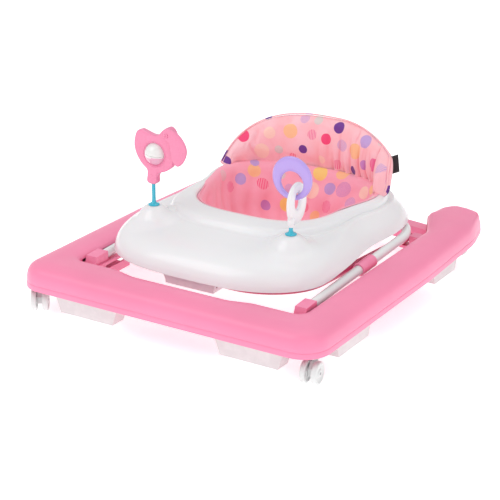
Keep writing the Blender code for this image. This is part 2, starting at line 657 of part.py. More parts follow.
def frame_mounts():
    """The base's own fittings: the front slide tracks and the rear pivot brackets, each with its pin."""
    for side, sign in SIDES.items():
        x = sign * OUTER_TUBE_X
        cheek = OUTER_TUBE_RADIUS + GAP + SOCKET_WALL + 0.0007
        wall = 0.0045
        outer = sign * (BASE_HALF_WIDTH - RAIL_WIDTH - GAP)
        inner = x - sign * (cheek + wall)
        first = FRONT_PIVOT_Y - 0.012
        last = FRONT_PIVOT_Y + SLIDE_TRAVEL + 0.014
        low = REAR_PIVOT_Z - 0.0210
        lows = (min(inner, outer), first, low)
        highs = (max(inner, outer), last, REAR_PIVOT_Z + 0.0100)
        track = solid(f"front_slide_track_{side}", box_mesh("track", lows, highs), "base_pink", smooth=False)
        outer_cut = x + sign * cheek
        inner_cut = x - sign * cheek
        combine(track, box_mesh("channel", (min(inner_cut, outer_cut), first - 0.01, low + 0.0045),
                                (max(inner_cut, outer_cut), last + 0.01, REAR_PIVOT_Z + 0.05)))
        slot_half = PIN_RADIUS + SLOT_CLEARANCE
        combine(track, box_mesh("slot", (min(inner_cut - sign * 0.006, x), FRONT_PIVOT_Y - slot_half,
                                         REAR_PIVOT_Z - slot_half),
                                (max(inner_cut - sign * 0.006, x), FRONT_PIVOT_Y + SLIDE_TRAVEL + slot_half,
                                 REAR_PIVOT_Z + slot_half)))
        rear_inner = sign * (INNER_TUBE_X - INNER_TUBE_RADIUS - 0.0045)
        wall_x = BASE_HALF_WIDTH - RAIL_WIDTH
        first = REAR_PIVOT_Y - 0.0120
        last = REAR_PIVOT_Y + 0.0120
        plan = [(rear_inner, first), (sign * (wall_x - 0.0017), first), (sign * (wall_x - 0.0098), last),
                (rear_inner, last)]
        bracket = solid(f"rear_pivot_bracket_{side}",
                        plate_mesh("bracket", plan, REAR_PIVOT_Z - 0.0200, REAR_PIVOT_Z + 0.0080, "Z"),
                        "base_pink", smooth=False)
        gap = INNER_TUBE_RADIUS + 0.0008
        tube_x = sign * INNER_TUBE_X
        combine(bracket, box_mesh("fork_gap", (tube_x - gap, REAR_PIVOT_Y - 0.03, REAR_PIVOT_Z - 0.0145),
                                  (tube_x + gap, REAR_PIVOT_Y + 0.03, REAR_PIVOT_Z + 0.03)))
        pin_start = sign * (INNER_TUBE_X - INNER_TUBE_RADIUS - 0.0060)
        pin_end = sign * (BASE_HALF_WIDTH - RAIL_WIDTH - 0.0080)
        combine(bracket, rod_mesh("pin_bore", (pin_start - sign * 0.005, REAR_PIVOT_Y, REAR_PIVOT_Z),
                                  (pin_end + sign * 0.005, REAR_PIVOT_Y, REAR_PIVOT_Z), PIN_RADIUS + GAP))
        solid(f"rear_pivot_pin_{side}", rod_mesh("pin", (pin_start, REAR_PIVOT_Y, REAR_PIVOT_Z),
                                                 (pin_end, REAR_PIVOT_Y, REAR_PIVOT_Z), PIN_RADIUS, segments=12),
              "steel")


# ---- tray -----------------------------------------------------------------------------------------------
TRAY_MIDDLE = (TRAY_REAR - TRAY_FRONT) / 2
TRAY_POINTS = 44
# How far the underside is set in and down at each level of the top, in wall thicknesses.
TRAY_UNDERSIDE = ((1.0, 0.0), (1.0, 0.35), (0.85, 0.65), (0.5, 0.9), (0.25, 1.0), (0.15, 1.0), (0.2, 1.0),
                  (-0.3, 1.0), (-1.0, 1.0))


def tray_edge(angle):
    front = sin(angle) < 0
    length = TRAY_FRONT + TRAY_MIDDLE if front else TRAY_REAR - TRAY_MIDDLE
    x, y = superellipse(angle, TRAY_HALF_WIDTH, length, 3.3 if front else 4.2)
    corner = TRAY_CORNER_FULLNESS * exp(-(((y + TRAY_MIDDLE + TRAY_FRONT - 0.075) / 0.075) ** 2))
    waist = TRAY_WAIST * exp(-(((y + TRAY_MIDDLE - 0.020) / 0.065) ** 2))
    return x * (1 + corner - waist), y + TRAY_MIDDLE


def opening_edge(angle, offset=0.0):
    front = sin(angle) < 0
    length = OPENING_FRONT + OPENING_MIDDLE if front else OPENING_REAR - OPENING_MIDDLE
    x, y = superellipse(angle, OPENING_HALF_WIDTH + offset, length + offset, 3.0)
    wide = OPENING_REAR_HALF_WIDTH / OPENING_HALF_WIDTH
    stretch = 1 + (wide - 1) * smoothstep(y, -0.06, 0.08)
    return x * stretch, y + OPENING_MIDDLE


def tray_profile(angle):
    """Share of the way from the skirt to the seat opening, and height, for the front and the side."""
    front = [(0.0, TRAY_TOP - TRAY_SKIRT_FRONT), (0.022, 0.058), (0.07, 0.042), (0.15, 0.030), (0.29, 0.020),
             (0.60, 0.011), (0.67, 0.0045), (0.84, 0.001), (1.0, 0.001)]
    side = [(0.0, TRAY_TOP - TRAY_SKIRT_SIDE), (0.09, 0.050), (0.22, 0.036), (0.38, 0.026), (0.52, 0.021),
            (0.62, 0.014), (0.70, 0.0065), (0.84, 0.001), (1.0, 0.001)]
    weight = smoothstep(-sin(angle), 0.05, 0.60)
    return [(s + (f - s) * weight, TRAY_TOP - ds - (df - ds) * weight) for (f, df), (s, ds) in zip(front, side)]


def tray_loops():
    """The tray's section at each angle, from the lip up and out to the skirt, then back along the underside."""
    angles = [2 * pi * (step + 0.5) / TRAY_POINTS for step in range(TRAY_POINTS)]
    last = len(tray_profile(0.0)) - 1
    top = [[] for _ in range(last + 1)]
    lip = []
    under = [[] for _ in TRAY_UNDERSIDE]
    under_lip = []
    for angle in angles:
        outer = Vector(tray_edge(angle))
        inner = Vector(opening_edge(angle))
        wall_share = WALL / (inner - outer).length
        waist = 0.10 * exp(-(((outer.y + 0.010) / 0.070) ** 2)) * smoothstep(abs(cos(angle)), 0.5, 0.9)

        def place(share, height):
            pinch = waist * sin(pi * share) if share < 1 else 0.0
            spot = outer.lerp(inner, min(1.0, share + pinch))
            return spot.x, spot.y, height
        profile = tray_profile(angle)
        for level, (share, height) in enumerate(profile):
            top[level].append(place(share, height))
        for level, (inward, down) in enumerate(TRAY_UNDERSIDE):
            share, height = profile[level]
            under[level].append(place(share + inward * wall_share, height - down * WALL))
        lip.append(place(1.0, profile[last][1] - OPENING_LIP))
        under_lip.append(place(1.0 - wall_share, profile[last][1] - OPENING_LIP))
    return [lip] + top[::-1] + under + [under_lip]


def tray_shell(lift):
    mesh = loft_mesh("tray_shell", tray_loops(), closed=True)
    shell = solid("tray_shell", mesh, "white_plastic", lift)
    for side, sign in SIDES.items():
        x = sign * TOY_X
        boss = rod_mesh("boss", (x, TOY_Y, TRAY_TOP - BOSS_HEIGHT), (x, TOY_Y, TOY_SEAT_Z - GAP), BOSS_BASE_RADIUS,
                        BOSS_TOP_RADIUS, segments=24)
        combine(shell, boss, "UNION")
        combine(shell, rod_mesh("stem_bore", (x, TOY_Y, TRAY_TOP - 0.040), (x, TOY_Y, TRAY_TOP + 0.020),
                                TOY_STEM_RADIUS + GAP))
    return shell


def tray_frame(lift):
    """The moulded ring screwed under the tray, which the frame's clips and the seat hang from."""
    count = 32
    angles = [2 * pi * (step + 0.5) / count for step in range(count)]
    low = TRAY_FRAME_BOTTOM
    high = TRAY_FRAME_TOP
    inner = [opening_edge(a, 0.007) for a in angles]
    outer = [opening_edge(a, 0.024) for a in angles]
    loops = [[(x, y, low) for x, y in inner], [(x, y, low) for x, y in outer],
             [(x, y, high) for x, y in outer], [(x, y, high) for x, y in inner]]
    solid("tray_frame", loft_mesh("tray_frame", loops, closed=True), "white_plastic", lift, smooth=False)


def rear_clips(lift):
    """Saddles under the rear of the tray, which the outer frame's crossbar turns in."""
    for side, sign in SIDES.items():
        x = sign * CLIP_X
        half = CLIP_THICKNESS / 2
        high = TRAY_FRAME_BOTTOM - GAP
        outline = [(-0.018, 0.0), (-0.010, -0.0155), (0.010, -0.0155), (0.018, 0.0), (0.018, high - TRAY_PIVOT_Z),
                   (-0.018, high - TRAY_PIVOT_Z)]
        placed = [(REAR_PIVOT_Y + a, TRAY_PIVOT_Z + u) for a, u in outline]
        clip = solid(f"rear_tube_clip_{side}", plate_mesh("clip", placed, x - half, x + half), "white_plastic", lift)
        combine(clip, rod_mesh("bore", (x - 0.02, REAR_PIVOT_Y, TRAY_PIVOT_Z),
                               (x + 0.02, REAR_PIVOT_Y, TRAY_PIVOT_Z), OUTER_TUBE_RADIUS + RUN_CLEARANCE))


def latch(lift):
    """The housing under the front of the tray that the inner frame's crossbar slides in, with its lever."""
    first = FRONT_PIVOT_Y - INNER_TUBE_RADIUS - LATCH_WALL - 0.0030
    last = FRONT_PIVOT_Y + SLIDE_TRAVEL + 0.0240
    low = TRAY_PIVOT_Z - 0.0180
    high = TRAY_PIVOT_Z + 0.0220
    flare = [(0.0, low), (0.0015, low + 0.0090), (0.0080, low + 0.0210), (0.0190, low + 0.0300), (0.0190, high)]
    right = [(LATCH_HALF_WIDTH + out, up) for out, up in flare]
    outline = right + [(-x, z) for x, z in reversed(right)]
    housing = solid("latch_housing", plate_mesh("housing", outline, first, last, "Y"), "white_plastic", lift,
                    smooth=False)
    neck_front = 0.18 * (TRAY_FRONT - OPENING_FRONT) - TRAY_FRONT
    combine(housing, box_mesh("neck", (-LATCH_HALF_WIDTH, neck_front, high - 0.004),
                              (LATCH_HALF_WIDTH, last, high + 0.0190)), "UNION")
    room = LATCH_HALF_WIDTH - LATCH_WALL
    combine(housing, box_mesh("cavity", (-room, first + LATCH_WALL, low - 0.01),
                              (room, last - LATCH_WALL, high - LATCH_WALL)))
    slot = INNER_TUBE_RADIUS + SLOT_CLEARANCE
    combine(housing, box_mesh("slot", (-0.08, FRONT_PIVOT_Y - slot, TRAY_PIVOT_Z - slot),
                              (0.08, FRONT_PIVOT_Y + SLIDE_TRAVEL + slot, TRAY_PIVOT_Z + slot)))

    hinge_y = last - LATCH_WALL - 0.0080
    hinge_z = TRAY_PIVOT_Z - 0.0100
    combine(housing, rod_mesh("pin_bore", (-0.07, hinge_y, hinge_z), (0.07, hinge_y, hinge_z), TRUNNION + GAP,
                              segments=12))
    swing = pivot("lever_swing", (0.0, hinge_y, hinge_z))
    tip = first + LATCH_WALL + 0.0030
    lever_outline = [(tip, low + 0.0005), (hinge_y - 0.006, low + 0.0005), (hinge_y, hinge_z - 0.0055),
                     (hinge_y + 0.0045, hinge_z), (hinge_y, hinge_z + 0.0050), (hinge_y - 0.006, hinge_z),
                     (hinge_y - 0.008, low + 0.0045), (tip, low + 0.0045)]
    lever = solid("height_lever", plate_mesh("lever", lever_outline, -0.034, 0.034), "tube_pink", swing)
    combine(lever, rod_mesh("trunnion", (-LATCH_HALF_WIDTH, hinge_y, hinge_z),
                            (LATCH_HALF_WIDTH, hinge_y, hinge_z), TRUNNION, segments=12), "UNION")
    turns, steps = 4, 9
    coil = []
    for step in range(turns * steps + 1):
        a = 2 * pi * step / steps
        coil.append((0.0375 + 0.0080 * step / (turns * steps), hinge_y + 0.0038 * cos(a), hinge_z + 0.0038 * sin(a)))
    solid("lever_spring", tube_mesh("spring", coil, 0.0006, resolution=0), "steel", lift)


# ---- seat -----------------------------------------------------------------------------------------------
def seat_ring(lift):
    count = 32
    points = []
    for step in range(count):
        x, y = opening_edge(2 * pi * (step + 0.5) / count, -0.0095)
        points.append((x, y, TRAY_TOP - 0.0145))
    solid("seat_ring", tube_mesh("seat_ring", points, 0.0035, resolution=1, cyclic=True), "white_plastic", lift)


def seat_sling(lift):
    """The cloth bowl that hangs in the opening, with a hole for each leg."""
    count = 28
    levels = [(0.0210, 0.934), (0.0500, 0.914), (0.0850, 0.803), (0.1100, 0.592), (SLING_DROP, 0.276)]
    loops = []
    for drop, width in levels:
        loop = []
        for step in range(count):
            x, y = opening_edge(2 * pi * (step + 0.5) / count)
            loop.append((x * width, OPENING_MIDDLE + (y - OPENING_MIDDLE) * width, TRAY_TOP - drop))
        loops.append(loop)
    loops = loops[::-1]
    sling = solid("seat_sling", loft_mesh("seat_sling", loops, cap_first=True), "seat_fabric", lift)
    thicken(sling, SLING_THICKNESS)
    for sign in SIDES.values():
        x = sign * LEG_X
        combine(sling, rod_mesh("leg_hole", (x, -OPENING_FRONT - 0.042, TRAY_TOP - 0.068),
                                (x * 1.1, 0.118 - OPENING_FRONT, TRAY_TOP - 0.128), LEG_RADIUS, segments=24))


def seat_back_path(steps):
    """Stations along the U of the seat back: place, outward direction, share of the way to a wing's end."""
    stations = []
    for step in range(steps + 1):
        share = 2 * step / steps - 1
        turn = radians(SEAT_BACK_SWEEP) * share
        way = 1 if share > 0 else -1
        place = Vector((way * SEAT_BACK_HALF_WIDTH * abs(sin(turn)) ** 0.9,
                        SEAT_BACK_Y + SEAT_BACK_DEPTH * cos(turn)))
        out = Vector((SEAT_BACK_DEPTH * sin(turn), SEAT_BACK_HALF_WIDTH * cos(turn))).normalized()
        stations.append((place, out, share))
    return stations


def seat_back_height(share):
    """The back falls away to a low left wing; the right wing is puffed up and stays tall to its rounded end."""
    if share < 0:
        return 1 - abs(share) ** 2.16
    return (1 - 0.33 * smoothstep(share, 0.1, 0.8)) * (1 - share ** 16) ** 0.6


def seat_back(lift):
    """The padded back: a curved wall that stands on the rear of the tray, fuller towards its wings."""
    low = TRAY_TOP + 0.0010
    loops = []
    for place, out, share in seat_back_path(28):
        height = 0.010 + (SEAT_BACK_HEIGHT - 0.010) * seat_back_height(share)
        wing = SEAT_WING_THICKNESS["left" if share < 0 else "right"]
        inner = SEAT_BACK_THICKNESS / 2 + (wing - SEAT_BACK_THICKNESS) * smoothstep(abs(share), 0.35, 0.85)
        outer = SEAT_BACK_THICKNESS / 2
        section = []
        for across, up in ((-1.0, 0.0), (-1.0, 0.45), (-0.9, 0.85), (-0.45, 1.0), (0.45, 1.0), (0.9, 0.85),
                           (1.0, 0.45), (1.0, 0.0)):
            lean = 0.008 * up * height / SEAT_BACK_HEIGHT
            spot = place + out * (across * (inner if across < 0 else outer) + lean)
            section.append((spot.x, spot.y, low + up * height))
        loops.append(section)
    solid("seat_back", loft_mesh("seat_back", loops, True, True), "seat_fabric", lift)


def seat_tag(lift):
    """A blank woven tag sewn to the outside of the right wing."""
    place, out, _ = seat_back_path(56)[48]
    start = place + out * (SEAT_BACK_THICKNESS / 2 + 0.0085)
    side = Vector((-out.y, out.x)) * 0.0006
    corners = [(0.0065, 0.000), (0.0295, 0.0155), (0.0215, 0.0420), (0.0, 0.0340)]
    foot = TRAY_TOP + 0.0280
    loops = []
    for way in (-1, 1):
        loops.append([(start.x + out.x * a + side.x * way, start.y + out.y * a + side.y * way, foot + u)
                      for a, u in corners])
    solid("seat_tag", loft_mesh("seat_tag", loops, True, True), "black_tape", lift, smooth=False)


# ---- toys -----------------------------------------------------------------------------------------------
def toy_stem(side, sign, top, lift):
    x = sign * TOY_X
    bar = rod_mesh("stem", (x, TOY_Y, TRAY_TOP - 0.0160), (x, TOY_Y, top), TOY_STEM_RADIUS)
    stem = solid(f"toy_stem_{side}", bar, "teal", lift)
    combine(stem, rod_mesh("flange", (x, TOY_Y, TOY_SEAT_Z), (x, TOY_Y, TOY_SEAT_Z + 0.0045), TOY_FLANGE_RADIUS,
                           TOY_STEM_RADIUS + 0.0015, segments=20), "UNION")
    return stem


def curve_through(points, steps):
    """A closed smooth curve through the points."""
    smooth = []
    count = len(points)
    for index in range(count):
        a, b, c, d = (Vector(points[(index + k - 1) % count]) for k in range(4))
        for step in range(steps):
            t = step / steps
            bend = (2 * a - 5 * b + 4 * c - d) * t ** 2 + (3 * b - a - 3 * c + d) * t ** 3
            spot = (2 * b + (c - a) * t + bend) / 2
            smooth.append((spot.x, spot.y))
    return smooth


def rattle(lift):
    x = -TOY_X
    neck = RATTLE_NECK_Z
    body_points = [(-0.0080, 0.0000), (-0.0075, 0.0130), (-0.0085, 0.0250), (-0.0220, 0.0370), (-0.0330, 0.0540),
                   (-0.0365, 0.0730), (-0.0315, 0.0930), (-0.0230, 0.0990), (-0.0120, 0.0965), (0.0040, 0.0925),
                   (0.0190, 0.0950), (0.0300, 0.1060), (0.0430, 0.1125), (0.0530, 0.1000), (0.0495, 0.0800),
                   (0.0500, 0.0560), (0.0450, 0.0400), (0.0320, 0.0290), (0.0150, 0.0220), (0.0095, 0.0120),
                   (0.0080, 0.0000)]
    outline = [(x + px, neck + up) for px, up in curve_through(body_points[::-1], 2)]
    half = RATTLE_THICKNESS / 2
    swing = pivot("rattle_turn", (x, TOY_Y, neck))
    plate = plate_mesh("rattle_body", outline, TOY_Y - half, TOY_Y + half, "Y")
    body = solid("rattle_body", plate, "toy_pink", swing)
    hole_x = x + WINDOW_OFFSET
    combine(body, rod_mesh("window", (hole_x, TOY_Y - 0.02, WINDOW_Z), (hole_x, TOY_Y + 0.02, WINDOW_Z),
                           WINDOW_RADIUS, segments=32))
    for end in (-1, 1):
        combine(body, rod_mesh("ball_pin_bore", (hole_x, TOY_Y, WINDOW_Z),
                               (hole_x, TOY_Y, WINDOW_Z + end * (WINDOW_RADIUS + 0.005)), 0.0015 + GAP, segments=12))
    combine(body, rod_mesh("stem_bore", (x, TOY_Y, neck - 0.01), (x, TOY_Y, neck + 0.010), TOY_STEM_RADIUS + GAP))

    spin = pivot("rattle_ball_spin", (hole_x, TOY_Y, WINDOW_Z))
    spin.parent = swing
    spin.matrix_parent_inverse = Matrix.Translation(-swing.location)
    builder = bmesh.new()
    bmesh.ops.create_uvsphere(builder, u_segments=16, v_segments=10, radius=WINDOW_RADIUS - 0.0015,
                              matrix=Matrix.Translation((hole_x, TOY_Y, WINDOW_Z)))
    ball = solid("rattle_ball", mesh_of(builder, "rattle_ball"), "white_plastic")
    attach_to_roll(ball, spin, (hole_x, TOY_Y, WINDOW_Z))
    combine(ball, rod_mesh("ball_pin", (hole_x, TOY_Y, WINDOW_Z - WINDOW_RADIUS - 0.0040),
                           (hole_x, TOY_Y, WINDOW_Z + WINDOW_RADIUS + 0.0040), 0.0015, segments=12), "UNION")

    wing_points = [(0.0420, 0.1125), (0.0340, 0.1060), (0.0360, 0.0960), (0.0480, 0.0860), (0.0500, 0.0680),
                   (0.0555, 0.0520), (0.0645, 0.0450), (0.0765, 0.0560), (0.0830, 0.0745), (0.0775, 0.0915),
                   (0.0620, 0.1070)]
    front = TOY_Y - half - GAP
    wing_outline = [(x + px, neck + up) for px, up in curve_through(wing_points, 2)]
    wing = solid("rattle_wing", plate_mesh("rattle_wing", wing_outline, front - 0.0050, front, "Y"), "toy_pink",
                 swing)
    rivet_x = x + 0.0400
    rivet_z = neck + 0.1000
    for piece in (body, wing):
        combine(piece, rod_mesh("rivet_bore", (rivet_x, TOY_Y - 0.03, rivet_z), (rivet_x, TOY_Y + 0.03, rivet_z),
                                0.0020 + GAP, segments=12))
    rivet = solid("rattle_rivet",
                  rod_mesh("rivet", (rivet_x, front - 0.0060, rivet_z), (rivet_x, TOY_Y + half + 0.001, rivet_z),
                           0.0020, segments=12), "toy_pink", swing)
    combine(rivet, rod_mesh("head", (rivet_x, front - 0.0070, rivet_z), (rivet_x, front - 0.0050 - GAP, rivet_z),
                            0.0038, segments=16), "UNION")


def band_mesh(name, centre, outer, inner, inner_drop, half_depth, plane, stations=30):
    """A ring of uneven width: an outer oval, a hole set lower in it, and a rounded section between them."""
    loops = []
    for station in range(stations):
        a = 2 * pi * station / stations
        out = Vector((outer[0] * cos(a), outer[1] * sin(a)))
        hole = Vector((inner[0] * cos(a), inner[1] * sin(a) - inner_drop))
        middle = (out + hole) / 2
        reach = (out - hole) / 2
        loop = []
        for step in range(6):
            b = 2 * pi * (step + 0.5) / 6
            flat = middle + reach * (max(-1.0, min(1.0, 1.12 * cos(b))))
            depth = half_depth * max(-1.0, min(1.0, 1.12 * sin(b)))
            if plane == "XZ":
                loop.append((centre[0] + flat.x, centre[1] + depth, centre[2] + flat.y))
            else:
                loop.append((centre[0] + depth, centre[1] + flat.x, centre[2] + flat.y))
        loops.append(loop)
    return loft_mesh(name, loops, closed=True)


def link_toy(lift):
    x = TOY_X
    y = TOY_Y + LINK_OFFSET
    turn = pivot("link_turn", (x, TOY_Y, LINK_STEM_TOP))
    band = band_mesh("toy_link", (x, y, LINK_Z), (0.0330, 0.0400), (0.0100, 0.0165), -0.0040, 0.0048, "YZ")
    link = solid("toy_link", band, "white_plastic", turn)
    foot = LINK_STEM_TOP - 0.0120
    combine(link, rod_mesh("foot", (x, TOY_Y, foot), (x, TOY_Y, foot + 0.0210), 0.0066), "UNION")
    combine(link, rod_mesh("stem_bore", (x, TOY_Y, foot - 0.0030), (x, TOY_Y, LINK_STEM_TOP + 0.0010),
                           TOY_STEM_RADIUS + GAP))
    swing = pivot("ring_swing", (x, y, RING_PIVOT_Z))
    band = band_mesh("toy_ring", (x - RING_OFFSET, y, RING_Z), (RING_RADIUS, RING_RADIUS), (0.0240, 0.0226), 0.0095,
                     0.0045, "XZ")
    ring = solid("toy_ring", band, "lilac")
    attach_to_roll(ring, swing, swing.location)


# ---- build ----------------------------------------------------------------------------------------------
def build():
    base_shell()
    rear_crossbar()
    stop_pads()
    for side, sign in SIDES.items():
        front_caster(side, sign)
        rear_wheel(side, sign)
    frame_mounts()
    inner_lift = pivot("inner_frame_pivot", (0.0, REAR_PIVOT_Y, REAR_PIVOT_Z))
    outer_lift = pivot("outer_frame_pivot", (0.0, CROSS_Y, CROSS_Z))
    tray_lift = pivot("tray_pivot", (0.0, REAR_PIVOT_Y, TRAY_PIVOT_Z))
    inner_frame(inner_lift)
    outer_frame(outer_lift)
    tray_shell(tray_lift)
    tray_frame(tray_lift)
    rear_clips(tray_lift)
    latch(tray_lift)
    seat_ring(tray_lift)
    seat_sling(tray_lift)
    seat_back(tray_lift)
    seat_tag(tray_lift)
    toy_stem("left", -1, RATTLE_STEM_TOP, tray_lift)
    toy_stem("right", 1, LINK_STEM_TOP, tray_lift)
    rattle(tray_lift)
    link_toy(tray_lift)


build()
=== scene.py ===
"""Looks for the baby walker: finer shells, printed fabric, toys, light and camera."""

import json
from math import cos, exp, pi, radians, sin, sqrt, tan

import bmesh
import bpy
from mathutils import Matrix, Vector, noise


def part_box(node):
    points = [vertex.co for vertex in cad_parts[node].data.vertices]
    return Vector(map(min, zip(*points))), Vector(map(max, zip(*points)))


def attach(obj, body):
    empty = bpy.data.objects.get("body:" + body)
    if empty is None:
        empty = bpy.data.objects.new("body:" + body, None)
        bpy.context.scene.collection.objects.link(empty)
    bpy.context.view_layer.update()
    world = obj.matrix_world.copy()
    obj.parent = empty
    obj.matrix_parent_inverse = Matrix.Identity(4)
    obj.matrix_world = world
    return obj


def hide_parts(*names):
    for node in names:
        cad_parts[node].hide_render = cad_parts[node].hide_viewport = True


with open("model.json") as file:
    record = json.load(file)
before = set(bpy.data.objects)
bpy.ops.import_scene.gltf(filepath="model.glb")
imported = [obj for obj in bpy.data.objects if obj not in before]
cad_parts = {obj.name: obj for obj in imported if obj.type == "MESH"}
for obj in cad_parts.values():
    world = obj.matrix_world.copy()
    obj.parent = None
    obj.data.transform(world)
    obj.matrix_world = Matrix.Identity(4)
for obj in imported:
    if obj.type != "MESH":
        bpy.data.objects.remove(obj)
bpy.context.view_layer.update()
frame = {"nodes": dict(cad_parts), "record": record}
scene = bpy.context.scene
JOINTS = {joint["name"]: joint["pos_m"] for joint in frame["record"]["behaviour"]["joints"]}


# ---- nodes ----------------------------------------------------------------------------------------------
class Tree:
    """Short names for adding shader nodes."""

    def __init__(self, material):
        self.nodes = material.node_tree.nodes
        self.links = material.node_tree.links
        self.shader = self.nodes["Principled BSDF"]

    def add(self, kind, **settings):
        node = self.nodes.new(kind)
        for key, value in settings.items():
            setattr(node, key, value)
        return node

    def join(self, start, end):
        self.links.new(start, end)

    def maths(self, operation, first, second=None, third=None):
        node = self.add("ShaderNodeMath", operation=operation)
        for socket, value in zip(node.inputs, (first, second, third)):
            if value is None:
                continue
            if isinstance(value, (int, float)):
                socket.default_value = value
            else:
                self.join(value, socket)
        return node.outputs[0]

    def noise(self, vector, scale, detail=2.0, roughness=0.5):
        node = self.add("ShaderNodeTexNoise")
        node.inputs["Scale"].default_value = scale
        node.inputs["Detail"].default_value = detail
        node.inputs["Roughness"].default_value = roughness
        self.join(vector, node.inputs["Vector"])
        return node.outputs["Fac"]

    def span(self, value, low, high, first=0.0, last=1.0, smooth=False):
        node = self.add("ShaderNodeMapRange")
        node.interpolation_type = "SMOOTHSTEP" if smooth else "LINEAR"
        for key, number in (("From Min", low), ("From Max", high), ("To Min", first), ("To Max", last)):
            node.inputs[key].default_value = number
        self.join(value, node.inputs["Value"])
        return node.outputs["Result"]

    def mix(self, share, first, second):
        node = self.add("ShaderNodeMix", data_type="RGBA")
        for socket, value in ((node.inputs[0], share), (node.inputs[6], first), (node.inputs[7], second)):
            if isinstance(value, tuple):
                socket.default_value = (*value, 1.0)
            elif isinstance(value, float):
                socket.default_value = value
            else:
                self.join(value, socket)
        return node.outputs[2]

    def bump(self, height, strength, distance, under=None):
        node = self.add("ShaderNodeBump")
        node.inputs["Strength"].default_value = strength
        node.inputs["Distance"].default_value = distance
        self.join(height, node.inputs["Height"])
        if under is not None:
            self.join(under, node.inputs["Normal"])
        return node.outputs["Normal"]


def blank(name, roughness, metallic=0.0, sheen=0.0, coat=0.0, glow=0.0):
    material = bpy.data.materials.new(name)
    material.use_nodes = True
    tree = Tree(material)
    tree.shader.inputs["Roughness"].default_value = roughness
    tree.shader.inputs["Metallic"].default_value = metallic
    tree.shader.inputs["Sheen Weight"].default_value = sheen
    tree.shader.inputs["Coat Weight"].default_value = coat
    tree.shader.inputs["Coat Roughness"].default_value = 0.12
    tree.shader.inputs["Subsurface Weight"].default_value = glow
    tree.shader.inputs["Subsurface Scale"].default_value = 0.004
    return material, tree


def plastic(name, colour, roughness, coat=0.0, grain=0.10, tint=0.94, glow=0.0):
    """Injection-moulded plastic: fine spark grain, slow flow marks, and edges rubbed a little paler."""
    material, tree = blank(name, roughness, coat=coat, glow=glow)
    place = tree.add("ShaderNodeTexCoord").outputs["Object"]
    fine = tree.noise(place, 2600.0, 2.0, 0.6)
    slow = tree.noise(place, 9.0, 3.0, 0.5)
    deep = tuple(c * tint for c in colour)
    body = tree.mix(tree.span(slow, 0.30, 0.70), deep, colour)
    edges = tree.add("ShaderNodeNewGeometry").outputs["Pointiness"]
    patchy = tree.span(tree.noise(place, 60.0, 3.0), 0.45, 0.70)
    rub = tree.maths("MULTIPLY", tree.span(edges, 0.52, 0.60), patchy)
    pale = tuple(min(1.0, c * 1.04 + 0.03) for c in colour)
    tree.join(tree.mix(tree.maths("MULTIPLY", rub, 0.6), body, pale), tree.shader.inputs["Base Color"])
    tree.join(tree.span(tree.noise(place, 45.0, 4.0, 0.6), 0.25, 0.75, roughness * 0.88, roughness * 1.14),
              tree.shader.inputs["Roughness"])
    tree.join(tree.bump(fine, grain, 0.0002), tree.shader.inputs["Normal"])
    return material


def painted(name, colour, roughness):
    """Powder coat: orange peel under a clear skin."""
    material, tree = blank(name, roughness, coat=0.35)
    place = tree.add("ShaderNodeTexCoord").outputs["Object"]
    peel = tree.noise(place, 900.0, 1.0)
    shade = tree.span(tree.noise(place, 14.0, 2.0), 0.3, 0.7)
    tree.join(tree.mix(shade, tuple(c * 0.95 for c in colour), colour), tree.shader.inputs["Base Color"])
    tree.join(tree.bump(peel, 0.12, 0.0003), tree.shader.inputs["Normal"])
    return material


def bare_steel(name):
    material, tree = blank(name, 0.28, metallic=1.0)
    place = tree.add("ShaderNodeTexCoord").outputs["Object"]
    marks = tree.noise(place, 700.0, 4.0, 0.7)
    tree.join(tree.mix(tree.span(marks, 0.3, 0.7), (0.50, 0.50, 0.52), (0.66, 0.66, 0.68)),
              tree.shader.inputs["Base Color"])
    tree.join(tree.span(marks, 0.3, 0.7, 0.20, 0.38), tree.shader.inputs["Roughness"])
    tree.join(tree.bump(marks, 0.10, 0.0001), tree.shader.inputs["Normal"])
    return material


# Print colours, linear.
HOT = (0.93, 0.065, 0.20)
ROSE = (0.90, 0.17, 0.36)
VIOLET = (0.16, 0.035, 0.29)
LILAC = (0.55, 0.36, 0.70)
PEACH = (1.0, 0.55, 0.30)
YELLOW = (0.98, 0.66, 0.20)
CREAM = (1.0, 0.64, 0.55)
MIST = (0.74, 0.62, 0.60)
PLUM = (0.60, 0.25, 0.58)
CLOTH_PINK = (1.0, 0.590, 0.650)
CLOTH_ROSE = (1.0, 0.430, 0.550)
HATCH_PITCH = 0.0034

